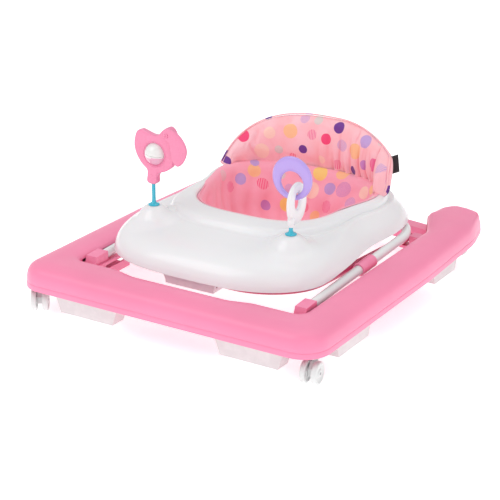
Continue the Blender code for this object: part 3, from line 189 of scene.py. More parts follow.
# Spots as (across, up, radius, colour, style), in metres on the flat cloth.
# Across runs from the middle of the back.
BACK_SPOTS = (
    (-0.226, 0.012, 0.014, VIOLET, "solid"), (-0.176, 0.058, 0.013, HOT, "solid"),
    (-0.150, 0.100, 0.012, VIOLET, "solid"), (-0.135, 0.026, 0.017, CREAM, "solid"),
    (-0.118, 0.066, 0.013, CREAM, "solid"), (-0.097, 0.030, 0.010, MIST, "solid"),
    (-0.072, 0.074, 0.016, PEACH, "solid"), (-0.066, 0.018, 0.009, HOT, "stripe"),
    (-0.044, 0.104, 0.011, LILAC, "dots"), (-0.042, 0.038, 0.010, VIOLET, "solid"),
    (-0.022, 0.072, 0.011, ROSE, "stripe"), (0.012, 0.068, 0.012, HOT, "solid"),
    (0.002, 0.022, 0.009, CREAM, "solid"), (0.040, 0.096, 0.013, VIOLET, "solid"),
    (0.052, 0.060, 0.013, LILAC, "dots"), (0.040, 0.018, 0.010, ROSE, "stripe"),
    (0.088, 0.056, 0.017, PEACH, "solid"), (0.082, 0.014, 0.009, VIOLET, "solid"),
    (0.112, 0.082, 0.014, LILAC, "solid"), (0.118, 0.034, 0.011, PLUM, "solid"),
    (0.150, 0.044, 0.014, ROSE, "solid"), (0.150, 0.094, 0.011, MIST, "dots"),
    (0.188, 0.016, 0.016, CREAM, "dots"), (0.206, 0.052, 0.011, LILAC, "dots"),
    (-0.200, 0.088, 0.011, PLUM, "stripe"), (-0.012, 0.104, 0.010, MIST, "solid"),
)
LINING_SPOTS = (
    (-0.215, 0.020, 0.012, MIST, "dots"), (-0.196, 0.050, 0.012, ROSE, "stripe"),
    (-0.165, 0.040, 0.013, LILAC, "solid"), (-0.132, 0.026, 0.014, PEACH, "solid"),
    (-0.118, 0.054, 0.013, HOT, "stripe"), (-0.128, 0.008, 0.009, LILAC, "solid"),
    (-0.082, 0.030, 0.012, MIST, "solid"), (-0.064, 0.004, 0.014, LILAC, "dots"),
    (-0.060, 0.060, 0.012, LILAC, "dots"), (-0.030, 0.022, 0.014, PLUM, "dots"),
    (-0.068, 0.094, 0.015, YELLOW, "solid"), (-0.008, 0.052, 0.018, CREAM, "solid"),
    (0.004, 0.014, 0.016, YELLOW, "solid"), (0.034, 0.042, 0.013, LILAC, "solid"),
    (0.036, 0.080, 0.014, ROSE, "stripe"), (0.066, 0.038, 0.017, PLUM, "dots"),
    (0.050, 0.006, 0.013, PEACH, "solid"), (0.096, 0.062, 0.014, LILAC, "dots"),
    (0.118, 0.030, 0.014, CREAM, "solid"), (0.142, 0.012, 0.014, PEACH, "solid"),
    (0.150, 0.050, 0.012, VIOLET, "stripe"), (0.178, 0.030, 0.012, ROSE, "stripe"),
    (0.205, 0.014, 0.013, MIST, "solid"), (-0.020, 0.090, 0.011, HOT, "dots"),
    (0.010, 0.104, 0.012, PEACH, "solid"), (0.086, 0.098, 0.012, YELLOW, "solid"),
    (-0.115, 0.100, 0.012, PLUM, "solid"), (0.140, 0.092, 0.012, LILAC, "solid"),
)


def printed_cloth(name, spots, ground, crease_shade=0.5):
    """Pink woven polyester with printed spots, a fine plain weave, painted shade darkening its concave
    creases, and a little sheen.
    """
    material, tree = blank(name, 0.86, sheen=0.25)
    tree.shader.inputs["Sheen Roughness"].default_value = 0.5
    uv = tree.add("ShaderNodeUVMap", uv_map="cloth").outputs["UV"]
    place = tree.add("ShaderNodeTexCoord").outputs["Object"]
    split = tree.add("ShaderNodeSeparateXYZ")
    tree.join(uv, split.inputs[0])
    across, up = split.outputs[0], split.outputs[1]
    wobble = tree.span(tree.noise(place, 120.0, 1.0), 0.0, 1.0, -0.0006, 0.0006)
    stripes = tree.maths("SINE", tree.maths("MULTIPLY", across, 2 * pi / 0.0036))
    stripe_mask = tree.span(stripes, -0.2, 0.2)
    waves = [tree.maths("SINE", tree.maths("MULTIPLY", tree.maths(how, across, up), 2 * pi / HATCH_PITCH))
             for how in ("ADD", "SUBTRACT")]
    lattice = tree.maths("MULTIPLY", *waves)
    dot_mask = tree.span(lattice, -0.15, 0.25, 0.15, 0.95)
    shade = tree.span(tree.noise(place, 22.0, 3.0), 0.32, 0.68)
    colour = tree.mix(shade, ground[0], ground[1])
    for x, y, radius, ink, style in spots:
        away = tree.add("ShaderNodeVectorMath", operation="DISTANCE")
        tree.join(uv, away.inputs[0])
        away.inputs[1].default_value = (x, y, 0.0)
        edge = tree.maths("ADD", away.outputs["Value"], wobble)
        mask = tree.span(edge, radius, radius - 0.0007)
        if style == "stripe":
            mask = tree.maths("MULTIPLY", mask, stripe_mask)
        if style == "dots":
            mask = tree.maths("MULTIPLY", mask, dot_mask)
        colour = tree.mix(mask, colour, ink)
    # Painted shade: the cloth colour is multiplied towards deep rose in concave creases (low pointiness),
    # scaled by the crease-shade strength.
    crease = tree.span(tree.add("ShaderNodeNewGeometry").outputs["Pointiness"], 0.46, 0.50)
    shadow = tree.mix(tree.maths("MULTIPLY", tree.maths("SUBTRACT", 1.0, crease), crease_shade), (1.0, 1.0, 1.0),
                      (0.86, 0.30, 0.36))
    blend = tree.add("ShaderNodeMix", data_type="RGBA", blend_type="MULTIPLY")
    blend.inputs[0].default_value = 1.0
    tree.join(colour, blend.inputs[6])
    tree.join(shadow, blend.inputs[7])
    tree.join(blend.outputs[2], tree.shader.inputs["Base Color"])
    thread = 2 * pi / 0.0009
    warp = tree.maths("SINE", tree.maths("MULTIPLY", across, thread))
    weft = tree.maths("SINE", tree.maths("MULTIPLY", up, thread))
    weave = tree.bump(tree.maths("MULTIPLY", warp, weft), 0.25, 0.00012)
    rumple = tree.bump(tree.noise(place, 85.0, 4.0, 0.6), 0.35, 0.0016, weave)
    tree.join(rumple, tree.shader.inputs["Normal"])
    return material


def tape(name):
    """Black woven tape with a ribbed weave; its rib troughs are painted darker and its crests lighter, painted
    shade.
    """
    material, tree = blank(name, 0.75, sheen=0.3)
    place = tree.add("ShaderNodeTexCoord").outputs["Object"]
    split = tree.add("ShaderNodeSeparateXYZ")
    tree.join(place, split.inputs[0])
    ribs = tree.maths("SINE", tree.maths("MULTIPLY", split.outputs[2], 2 * pi / 0.0011))
    # Painted shade: the colour follows the rib height, darker in the troughs and lighter on the crests.
    tree.join(tree.mix(tree.span(ribs, -1.0, 1.0), (0.008, 0.006, 0.008), (0.030, 0.022, 0.028)),
              tree.shader.inputs["Base Color"])
    tree.join(tree.bump(ribs, 0.5, 0.0003), tree.shader.inputs["Normal"])
    return material


BASE_PINK = plastic("base_plastic", (0.985, 0.270, 0.455), 0.36, coat=0.06, grain=0.08, tint=0.95)
WHITE = plastic("tray_plastic", (0.86, 0.855, 0.870), 0.24, coat=0.25, grain=0.02, tint=0.97, glow=0.05)
WHEEL_WHITE = plastic("wheel_plastic", (0.80, 0.81, 0.81), 0.32, grain=0.10)
PAD_WHITE = plastic("pad_plastic", (0.78, 0.72, 0.735), 0.46, grain=0.22)
TUBE_WHITE = painted("tube_paint", (0.88, 0.90, 0.90), 0.22)
# The inner tube and lever are pink parts whose colour is darkened below the base pink: painted shade for the
# shadow they sit in under the tray.
SHADED_TUBE_PINK = painted("inner_tube_paint", (0.62, 0.05, 0.16), 0.35)
SHADED_LEVER_PINK = plastic("lever_plastic", (0.66, 0.06, 0.18), 0.38)
TEAL = plastic("stem_plastic", (0.035, 0.50, 0.66), 0.24, coat=0.4, grain=0.03)
TOY_PINK = plastic("rattle_plastic", (0.90, 0.255, 0.44), 0.27, coat=0.4, grain=0.03)
LILAC_PLASTIC = plastic("ring_plastic", (0.50, 0.36, 0.84), 0.22, coat=0.5, grain=0.02, glow=0.05)
# Both cloths carry painted shade in their creases, weaker on the lining.
BACK_CLOTH = printed_cloth("back_cloth", BACK_SPOTS, (CLOTH_PINK, (1.0, 0.50, 0.54)))
LINING_CLOTH = printed_cloth("lining_cloth", LINING_SPOTS, (CLOTH_ROSE, (0.98, 0.42, 0.52)), crease_shade=0.35)
TAPE = tape("tag_tape")
STEEL = bare_steel("plain_steel")


# ---- mesh helpers ---------------------------------------------------------------------------------------
def piece(name, mesh, material, body, nodes, angle=40.0):
    """Shows a mesh on a CAD body in place of CAD nodes."""
    obj = bpy.data.objects.new(name, mesh)
    scene.collection.objects.link(obj)
    mesh.materials.append(material)
    mesh.shade_smooth()
    mesh.set_sharp_from_angle(angle=radians(angle))
    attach(obj, body)
    if nodes:
        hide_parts(*nodes)
    return obj


def mesh_of(builder, name):
    mesh = bpy.data.meshes.new(name)
    builder.to_mesh(mesh)
    builder.free()
    return mesh


def loft(name, loops, cap_first=False, cap_last=False, closed=False):
    builder = bmesh.new()
    rings = [[builder.verts.new(point) for point in loop] for loop in loops]
    pairs = list(zip(rings, rings[1:]))
    if closed:
        pairs.append((rings[-1], rings[0]))
    for lower, upper in pairs:
        for index in range(len(lower)):
            after = (index + 1) % len(lower)
            builder.faces.new((lower[index], lower[after], upper[after], upper[index]))
    if cap_first:
        builder.faces.new(list(reversed(rings[0])))
    if cap_last:
        builder.faces.new(rings[-1])
    bmesh.ops.recalc_face_normals(builder, faces=builder.faces)
    return mesh_of(builder, name)


def smoothstep(value, low, high):
    share = min(1.0, max(0.0, (value - low) / (high - low)))
    return share * share * (3 - 2 * share)


def spline(points, steps):
    """A smooth open curve through tuples of any length."""
    made = []
    last = len(points) - 1
    for index in range(last):
        a, b, c, d = (points[max(0, min(last, index + k - 1))] for k in range(4))
        for step in range(steps):
            t = step / steps
            made.append(tuple(
                0.5 * (2 * q + (r - p) * t + (2 * p - 5 * q + 4 * r - s) * t ** 2
                       + (3 * q - p - 3 * r + s) * t ** 3)
                for p, q, r, s in zip(a, b, c, d)))
    made.append(tuple(points[last]))
    return made


def rounded(corners):
    path = []
    for index, (x, y, radius, steps, side) in enumerate(corners):
        if radius == 0:
            path.append((x, y, side))
            continue
        here = Vector((x, y))
        before = (Vector(corners[index - 1][:2]) - here).normalized()
        after = (Vector(corners[index + 1][:2]) - here).normalized()
        half = before.angle(after) / 2
        centre = here + (before + after).normalized() * (radius / sin(half))
        start = here + before * (radius / tan(half)) - centre
        sweep = (pi - 2 * half) * (1 if before.cross(after) < 0 else -1)
        for step in range(steps + 1):
            turned = Matrix.Rotation(sweep * step / steps, 2) @ start
            path.append((centre.x + turned.x, centre.y + turned.y, side))
    return path


def bevelled(obj, width=0.0012, segments=3):
    edge = obj.modifiers.new("soft_edges", "BEVEL")
    edge.width = width
    edge.segments = segments
    edge.limit_method = "ANGLE"
    edge.angle_limit = radians(32)
    return obj


def rod(start, end, radius, end_radius=None, segments=48):
    builder = bmesh.new()
    start = Vector(start)
    run = Vector(end) - start
    turn = run.to_track_quat("Z", "Y").to_matrix().to_4x4()
    last = radius if end_radius is None else end_radius
    bmesh.ops.create_cone(builder, cap_ends=True, segments=segments, radius1=radius, radius2=last,
                          depth=run.length,
                          matrix=Matrix.Translation(start + run / 2) @ turn)
    return mesh_of(builder, "rod")


def join_meshes(name, meshes):
    builder = bmesh.new()
    for mesh in meshes:
        builder.from_mesh(mesh)
        bpy.data.meshes.remove(mesh)
    return mesh_of(builder, name)


def turned(name, centre, axis, profile, segments=56):
    """A solid turned from (radius, along) points, closed on itself."""
    spin = Vector(axis).to_track_quat("Z", "Y").to_matrix()
    loops = []
    for distance, along in profile:
        loop = []
        for step in range(segments):
            a = 2 * pi * step / segments
            loop.append(Vector(centre) + spin @ Vector((distance * cos(a), distance * sin(a), along)))
        loops.append(loop)
    return loft(name, loops, closed=True)


def tube(name, points, radius, segments=32, cyclic=False):
    """A round bar swept along points, with frames carried from one station to the next."""
    spots = [Vector(p) for p in points]
    count = len(spots)
    loops = []
    normal = None
    for index, spot in enumerate(spots):
        if cyclic:
            run = spots[(index + 1) % count] - spots[index - 1]
        else:
            run = spots[min(count - 1, index + 1)] - spots[max(0, index - 1)]
        run.normalize()
        if normal is None:
            normal = run.orthogonal().normalized()
        normal = (normal - run * normal.dot(run)).normalized()
        side = run.cross(normal)
        turns = [2 * pi * k / segments for k in range(segments)]
        loops.append([spot + (normal * cos(a) + side * sin(a)) * radius for a in turns])
    return loft(name, loops, cap_first=not cyclic, cap_last=not cyclic, closed=cyclic)


# ---- base -----------------------------------------------------------------------------------------------
BASE_LOW, BASE_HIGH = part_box("base_shell")
HALF_W = BASE_HIGH.x
HALF_L = BASE_HIGH.y
BASE_BOTTOM = BASE_LOW.z
BASE_TOP = BASE_HIGH.z
INNER_X = HALF_W - 0.0805
INNER_FRONT = -HALF_L + 0.0805


def base_outline():
    right = rounded([
        (0.0, -HALF_L, 0, 0, 1.0), (HALF_W, -HALF_L, 0.054, 24, 1.0), (HALF_W, 0.055, 0.60, 8, 1.0),
        (0.3205, 0.285, 0.25, 8, 1.0), (0.2955, HALF_L, 0.040, 14, 0.75), (0.2135, HALF_L, 0.044, 14, 0.3),
        (0.2065, 0.300, 0.055, 12, 0.0), (INNER_X, 0.205, 0.080, 12, 0.0),
        (INNER_X, INNER_FRONT + 0.012, 0.016, 10, 0.0), (0.150, INNER_FRONT + 0.012, 0.070, 8, 0.0),
        (0.105, INNER_FRONT, 0.070, 8, 0.0), (0.0, INNER_FRONT, 0, 0, 0.0),
    ])
    path = right + [(-x, y, side) for x, y, side in reversed(right[1:-1])]
    spaced = []
    for index, here in enumerate(path):
        spaced.append(here)
        after = path[(index + 1) % len(path)]
        gap = sqrt((after[0] - here[0]) ** 2 + (after[1] - here[1]) ** 2)
        steps = int(gap / 0.02)
        for step in range(1, steps):
            t = step / steps
            spaced.append(tuple(a + (b - a) * t for a, b in zip(here, after)))
    sides = [p[2] for p in spaced]
    reach = 4
    count = len(sides)
    window = range(-reach, reach + 1)
    eased = [sum(sides[(i + k) % count] for k in window) / len(window) for i in range(count)]
    return [(p[0], p[1], side) for p, side in zip(spaced, eased)]


def build_base():
    outline = base_outline()
    normals = []
    for index in range(len(outline)):
        before = Vector(outline[index - 1][:2])
        after = Vector(outline[(index + 1) % len(outline)][:2])
        run = (after - before).normalized()
        normals.append(Vector((-run.y, run.x)))
    groove = 0.0012
    outer = spline([(0.0, BASE_BOTTOM), (0.0, 0.0600), (0.0004, 0.0640)], 3)
    outer += [(groove, 0.0648), (groove, 0.0658)]
    outer += spline([(0.0006, 0.0668), (0.0014, 0.0750), (0.0042, 0.0850), (0.0092, 0.0922), (0.0170, 0.0968),
                     (0.0270, 0.0994), (0.0345, 0.1005), (0.0400, BASE_TOP)], 4)
    inner = spline([(0.0, BASE_BOTTOM), (0.0, 0.0640)], len(outer) - 20)[:-1]
    while len(inner) < len(outer) - 15:
        inner.append((0.0, 0.0640 + 0.002 * (len(inner) - 8)))
    tail = spline([(0.0, 0.0800), (0.0002, 0.0870), (0.0022, 0.0925), (0.0058, 0.0962), (0.0120, 0.0990),
                   (0.0220, BASE_TOP)], 3)
    inner = inner[:len(outer) - len(tail)] + tail
    under = [(0.0030, BASE_BOTTOM + 0.0005), (0.0045, 0.0800), (0.0260, BASE_TOP - 0.004)]
    loops = []
    for offset, height in reversed(under):
        loops.append([(x + n.x * offset, y + n.y * offset, height) for (x, y, _), n in zip(outline, normals)])
    for (inset_out, z_out), (inset_in, z_in) in zip(outer, inner):
        loop = []
        for (x, y, side), normal in zip(outline, normals):
            inset = inset_in + (inset_out - inset_in) * side
            height = z_in + (z_out - z_in) * side
            loop.append((x + normal.x * inset, y + normal.y * inset, height))
        loops.append(loop)
    mesh = loft("base_cover", loops, cap_first=True, cap_last=True)
    return piece("base_cover", mesh, BASE_PINK, "base", ["base_shell"], angle=60)


# ---- tray -----------------------------------------------------------------------------------------------
TRAY_LOW, TRAY_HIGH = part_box("tray_shell")
TRAY_HALF_W = TRAY_HIGH.x
TRAY_FRONT = -TRAY_LOW.y
TRAY_REAR = TRAY_HIGH.y
TRAY_MIDDLE = (TRAY_REAR - TRAY_FRONT) / 2
TOY_X, TOY_Y = JOINTS["link_turn"][:2]
BOSS_TOP = 0.1880
RIM_Z = 0.1790
LIP_TOP = 0.1765
LIP_BOTTOM = RIM_Z - 0.0155
CORNER_FULLNESS = 0.060      # share that the front corners are fuller than a plain oval
WAIST = 0.040                # share that the sides draw in


def superellipse(angle, half_width, half_length, power):
    reach = (abs(cos(angle)) ** power + abs(sin(angle)) ** power) ** (-1 / power)
    return half_width * reach * cos(angle), half_length * reach * sin(angle)


def tray_edge(angle):
    blend = smoothstep(sin(angle), -0.25, 0.25)
    length = TRAY_FRONT + TRAY_MIDDLE
    x, y = superellipse(angle, TRAY_HALF_W, length, 3.3 + 0.9 * blend)
    corner = CORNER_FULLNESS * exp(-(((y + TRAY_MIDDLE + TRAY_FRONT - 0.075) / 0.075) ** 2))
    waist = WAIST * exp(-(((y + TRAY_MIDDLE - 0.020) / 0.065) ** 2))
    return x * (1 + corner - waist), y + TRAY_MIDDLE


def opening_edge(angle, offset=0.0):
    length = 0.153 if sin(angle) < 0 else 0.155
    x, y = superellipse(angle, 0.152 + offset, length + offset, 3.0)
    stretch = 1 + 0.184 * smoothstep(y, -0.06, 0.08)
    return x * stretch, y + 0.055


# The tray from its outer edge to the opening, as (share of the way in, height).
FRONT_SECTION = ((0.0, 0.1080), (0.004, 0.1120), (0.016, 0.1200), (0.045, 0.1310), (0.10, 0.1420),
                 (0.19, 0.1515), (0.32, 0.1590), (0.48, 0.1636), (0.60, 0.1658), (0.665, 0.1668),
                 (0.700, 0.1735), (0.745, 0.1785),
                 (0.88, 0.1808), (0.965, 0.1800), (1.0, 0.1765))
SIDE_SECTION = ((0.0, 0.1170), (0.020, 0.1205), (0.080, 0.1295), (0.17, 0.1395), (0.30, 0.1500),
                (0.40, 0.1575), (0.46, 0.1632), (0.50, 0.1648), (0.590, 0.1654), (0.635, 0.1664),
                (0.675, 0.1732), (0.730, 0.1784),
                (0.86, 0.1806), (0.96, 0.1800), (1.0, 0.1765))


def toy_boss(x, y, z):
    """Raises a surface point into the bell-shaped foot of the nearer toy."""
    away = min(sqrt((x - side * TOY_X) ** 2 + (y - TOY_Y) ** 2) for side in (-1, 1))
    bell = smoothstep(away, 0.040, 0.0125)
    apron = 0.0060 * smoothstep(away, 0.062, 0.038)
    return z + apron * (1 - bell) + (BOSS_TOP - z) * bell


def build_tray():
    count = 288
    angles = [2 * pi * (step + 0.5) / count for step in range(count)]
    columns = []
    for angle in angles:
        outer = Vector(tray_edge(angle))
        inner = Vector(opening_edge(angle))
        waist = 0.10 * exp(-(((outer.y + 0.010) / 0.070) ** 2)) * smoothstep(abs(cos(angle)), 0.5, 0.9)
        weight = smoothstep(-sin(angle), 0.05, 0.60)
        section = [(s + (f - s) * weight, zs + (zf - zs) * weight)
                   for (f, zf), (s, zs) in zip(FRONT_SECTION, SIDE_SECTION)]
        column = []
        for share, height in spline(section, 4):
            pinch = waist * sin(pi * min(1.0, share)) if share < 1 else 0.0
            spot = outer.lerp(inner, min(1.0, share + pinch))
            column.append((spot.x, spot.y, toy_boss(spot.x, spot.y, height)))
        lip = spline([(inner.x, inner.y, height) for height in (LIP_TOP, 0.1700, LIP_BOTTOM)], 2)
        back = (outer - inner).normalized()
        thick = 0.0030
        under = [(inner.x + back.x * thick, inner.y + back.y * thick, LIP_BOTTOM)]
        for share, drop in ((0.90, 0.0030), (0.62, 0.0030), (0.30, 0.0032), (0.10, 0.0040)):
            spot = outer.lerp(inner, share)
            height = min(z for _, _, z in column[int(len(column) * share * 0.75):][:6]) - drop
            under.append((spot.x, spot.y, height))
        under.append((outer.x - back.x * thick, outer.y - back.y * thick, column[0][2] + 0.0004))
        columns.append(column + lip[1:] + under)
    loops = [list(level) for level in zip(*columns)]
    return piece("tray_cover", loft("tray_cover", loops, closed=True), WHITE, "tray", ["tray_shell"],
                 angle=55)


# ---- fabric ---------------------------------------------------------------------------------------------
def back_station(t, lean=0.0):
    """Place and outward direction at a share t (-1 to 1) along the seat back's U."""
    turn = radians(86.6) * t
    way = 1 if t >= 0 else -1
    place = Vector((0.186 * way * abs(sin(turn)) ** 0.9, 0.127 + 0.094 * cos(turn)))
    out = Vector((0.094 * sin(turn), 0.186 * cos(turn))).normalized()
    return place + out * lean, out


def back_height(t):
    if t < 0:
        return 0.106 * (1 - abs(t) ** 2.16)
    return 0.106 * (1 - 0.33 * smoothstep(t, 0.1, 0.8)) * (1 - t ** 16) ** 0.6


def set_uv(mesh, coordinates):
    layer = mesh.uv_layers.new(name="cloth")
    for loop in mesh.loops:
        layer.data[loop.index].uv = coordinates[loop.vertex_index]


def arc_lengths(steps):
    """Distance along the U from its middle, at each share."""
    places = [back_station(-1 + 2 * k / steps)[0] for k in range(steps + 1)]
    total = [0.0]
    for before, after in zip(places, places[1:]):
        total.append(total[-1] + (after - before).length)
    middle = total[steps // 2]
    return [value - middle for value in total]


def cushion_mesh():
    """The back as a closed pad: two sheets meeting in a seam, tucked in a fold before the right wing."""
    across, up = 132, 26
    lengths = arc_lengths(across)
    loops = []
    coordinates = []
    foot = 0.1775
    for k in range(across + 1):
        t = -1 + 2 * k / across
        tall = back_height(t) + 0.006
        wing = (0.016 if t > 0 else 0.006) * smoothstep(abs(t), 0.35, 0.85)
        fold = exp(-(((t - 0.60) / 0.018) ** 2))
        ring = []
        for j in range(2 * up):
            front = j < up
            v = j / (up - 1) if front else (2 * up - 1 - j) / (up - 1)
            bulge = sin(pi * min(1.0, max(0.0, v * 0.96 + 0.02))) ** 0.5
            gather = smoothstep(t, -0.10, 0.08) * (1 - smoothstep(t, 0.50, 0.62))
            if front:
                depth = (0.0100 + wing) * bulge * (1 - 0.75 * fold * (1 - 0.45 * v))
                fan = gather * exp(-((v / 0.60) ** 2))
                depth += fan * (0.0034 * sin(t * 68 + 2.6 * v) + 0.0018 * sin(t * 127 - 3.0 * v + 1.0))
                depth += 0.0014 * noise.noise(Vector((t * 6.0, v * 3.0, 2.0)))
                depth += 0.0018 * (1 - gather) * sin(t * 27 + v * 5.0) * exp(-(((v - 0.10) / 0.30) ** 2))
            else:
                depth = -0.0085 * bulge
            place, out = back_station(t, 0.008 * v)
            spot = place - out * depth
            ring.append((spot.x, spot.y, foot + v * tall))
            coordinates.append((lengths[k] if front else -lengths[k], v * tall))
        loops.append(ring)
    mesh = loft("seat_back_pad", loops, cap_first=True, cap_last=True)
    set_uv(mesh, coordinates)
    return mesh


def puff(obj, cap, pressure=4.0):
    """Inflates a closed pad with cloth simulation and applies it. No point moves past cap; the foot stays."""
    rest = [v.co.copy() for v in obj.data.vertices]
    foot = min(place.z for place in rest)
    cloth = obj.modifiers.new("Cloth", "CLOTH")
    cloth.settings.quality = 5
    cloth.settings.mass = 0.25
    cloth.settings.tension_stiffness = 18
    cloth.settings.compression_stiffness = 18
    cloth.settings.shear_stiffness = 6
    cloth.settings.bending_stiffness = 0.15
    cloth.settings.use_pressure = True
    cloth.settings.uniform_pressure_force = pressure
    cloth.settings.effector_weights.gravity = 0.0
    scene.frame_start = 1
    scene.frame_end = 20
    for number in range(1, 21):
        scene.frame_set(number)
    shaped = obj.evaluated_get(bpy.context.evaluated_depsgraph_get())
    moved = [v.co.copy() for v in shaped.to_mesh().vertices]
    shaped.to_mesh_clear()
    obj.modifiers.remove(cloth)
    scene.frame_set(1)
    for vertex, start, end in zip(obj.data.vertices, rest, moved):
        shift = end - start
        limit = cap * smoothstep(start.z, foot + 0.006, foot + 0.030)
        if shift.length > limit:
            shift *= limit / shift.length
        vertex.co = start + shift
    obj.data.update()


def smooth_once(obj, levels=1):
    fine = obj.modifiers.new("fine", "SUBSURF")
    fine.levels = levels
    fine.render_levels = levels
    return obj


def build_seat_back():
    pad = piece("seat_back_pad", cushion_mesh(), BACK_CLOTH, "tray", ["seat_back"], angle=80)
    puff(pad, 0.005)
    smooth_once(pad)
    edge = []
    for k in range(97):
        t = -0.99 + 1.98 * k / 96
        place, _ = back_station(t, 0.008)
        edge.append((place.x, place.y, 0.1775 + back_height(t) + 0.0062))
    piping = piece("seat_back_piping", tube("seat_back_piping", edge, 0.0016, 12), BACK_CLOTH, "tray", [])
    set_uv(piping.data, [(v.co.x * 1.2, v.co.z - 0.18) for v in piping.data.vertices])
    return pad


LEG_HOLE_RADIUS = 0.046


def build_lining():
    """The sling: cloth hung from the seat ring, its bound edge rolled over the tray's rim."""
    count = 192
    levels = spline([(0.1822, 0.004), (0.1785, -0.0035), (0.1690, -0.0080), (0.1560, -0.0090),
                     (0.1360, -0.0115), (0.1150, -0.0180), (0.0900, -0.0340), (0.0700, -0.0620),
                     (0.0600, -0.0960),
                     (0.0590, -0.1150)], 4)
    columns = []
    coordinates = []
    for step in range(count):
        angle = 2 * pi * (step + 0.5) / count
        rear = smoothstep(sin(angle), -0.55, 0.10)
        column = []
        run = 0.0
        last = None
        for level, (height, offset) in enumerate(levels):
            hang = smoothstep(0.185 - height, 0.0, 0.05)
            fold = 0.0022 * sin(angle * 9 + 0.8) + 0.0016 * sin(angle * 23 + height * 60)
            fold += 0.0014 * noise.noise(Vector((angle * 2.5, height * 40, 0.3)))
            swell = sin(pi * smoothstep(height, 0.075, 0.178))
            bulge = 0.012 * rear * swell * smoothstep(sin(angle), 0.0, 0.8)
            over = offset if offset < 0 or rear > 0.5 else offset * rear * 2 - 0.004 * (1 - rear * 2)
            drop = 0.0 if rear > 0.5 else 0.0065 * (1 - rear * 2) * smoothstep(height, 0.165, 0.182)
            x, y = opening_edge(angle, over + fold * hang - bulge)
            spot = Vector((x, y, height - drop))
            if last is not None:
                run += (spot - last).length
            last = spot
            column.append((spot.x, spot.y, spot.z))
            from_rear = ((angle - pi / 2 + pi) % (2 * pi)) - pi
            coordinates.append((-from_rear * 0.165, run))
        columns.append(column)
    loops = [list(level) for level in zip(*columns)]
    flat = [coordinates[step * len(levels) + level]
            for level in range(len(levels)) for step in range(count)]
    mesh = loft("seat_lining", loops, cap_last=True)
    mesh.flip_normals()
    set_uv(mesh, flat)
    lining = piece("seat_lining", mesh, LINING_CLOTH, "tray", ["seat_sling", "seat_ring"],
                   angle=80)
    wall = lining.modifiers.new("wall", "SOLIDIFY")
    wall.thickness = 0.0016
    wall.offset = 0.0
    holes = []
    for side in (-1, 1):
        leg = rod((side * 0.058, -0.140, 0.112), (side * 0.064, 0.020, 0.052), LEG_HOLE_RADIUS)
        tool = bpy.data.objects.new("leg_tool", leg)
        scene.collection.objects.link(tool)
        cut = lining.modifiers.new("leg", "BOOLEAN")
        cut.operation = "DIFFERENCE"
        cut.solver = "EXACT"
        cut.object = tool
        holes.append(tool)
    bake(lining)
    for tool in holes:
        bpy.data.objects.remove(tool)
    return lining


def bake(obj):
    """Applies the modifiers, keeping the mesh's material."""
    made = bpy.data.meshes.new_from_object(obj.evaluated_get(bpy.context.evaluated_depsgraph_get()))
    obj.modifiers.clear()
    obj.data = made


def build_tag():
    """The blank woven tag, sewn into the edge seam of the right wing."""
    place, out = back_station(0.80, 0.008)
    start = Vector((place.x, place.y, 0.2130))
    along = Vector((out.x * 0.95, out.y * 0.2 - 0.05, 0.0)).normalized()
    rise = Vector((-0.16, 0.02, 1.0)).normalized()
    loops = []
    for j in range(9):
        v = j / 8
        row = []
        for k in range(9):
            u = k / 8
            wave = 0.0012 * sin(u * 3.0 + v * 2.0)
            spot = start + along * (0.0240 * u) + rise * (0.0350 * v + 0.0100 * u)
            row.append(spot + Vector((along.y, -along.x, 0.0)) * wave)
        loops.append(row)
    builder = bmesh.new()
    grid = [[builder.verts.new(p) for p in row] for row in loops]
    for lower, upper in zip(grid, grid[1:]):
        for k in range(8):
            builder.faces.new((lower[k], lower[k + 1], upper[k + 1], upper[k]))
    tag = piece("sewn_tag", mesh_of(builder, "sewn_tag"), TAPE, "tray", ["seat_tag"])
    wall = tag.modifiers.new("wall", "SOLIDIFY")
    wall.thickness = 0.0010
    return tag


# ---- toys -----------------------------------------------------------------------------------------------
def closed_curve(points, steps):
    made = []
    count = len(points)
    for index in range(count):
        a, b, c, d = (Vector(points[(index + k - 1) % count]) for k in range(4))
        for step in range(steps):
            t = step / steps
            spot = 0.5 * (2 * b + (c - a) * t + (2 * a - 5 * b + 4 * c - d) * t ** 2
                          + (3 * b - a - 3 * c + d) * t ** 3)
            made.append((spot.x, spot.y))
    return made


def slab(name, outline, hole, front, back, edge):
    """A flat moulded plate with rounded edges, as a filled 2D curve with an optional round hole."""
    curve = bpy.data.curves.new(name, "CURVE")
    curve.dimensions = "2D"
    curve.fill_mode = "BOTH"
    for ring in [outline] + ([hole] if hole else []):
        line = curve.splines.new("POLY")
        line.points.add(len(ring) - 1)
        for index, (x, z) in enumerate(ring):
            line.points[index].co = (x, z, 0.0, 1.0)
        line.use_cyclic_u = True
    curve.extrude = abs(back - front) / 2 - edge
    curve.bevel_depth = edge
    curve.bevel_resolution = 3
    guide = bpy.data.objects.new(name, curve)
    scene.collection.objects.link(guide)
    mesh = bpy.data.meshes.new_from_object(guide.evaluated_get(bpy.context.evaluated_depsgraph_get()))
    bpy.data.objects.remove(guide)
    mesh.transform(Matrix(((1, 0, 0, 0), (0, 0, -1, (front + back) / 2), (0, 1, 0, 0), (0, 0, 0, 1))))
    builder = bmesh.new()
    builder.from_mesh(mesh)
    bmesh.ops.remove_doubles(builder, verts=builder.verts, dist=0.00001)
    bmesh.ops.recalc_face_normals(builder, faces=builder.faces)
    bpy.data.meshes.remove(mesh)
    return mesh_of(builder, name)


def ring_points(centre, radius, count=64):
    return [(centre[0] + radius * cos(2 * pi * k / count), centre[1] + radius * sin(2 * pi * k / count))
            for k in range(count)]


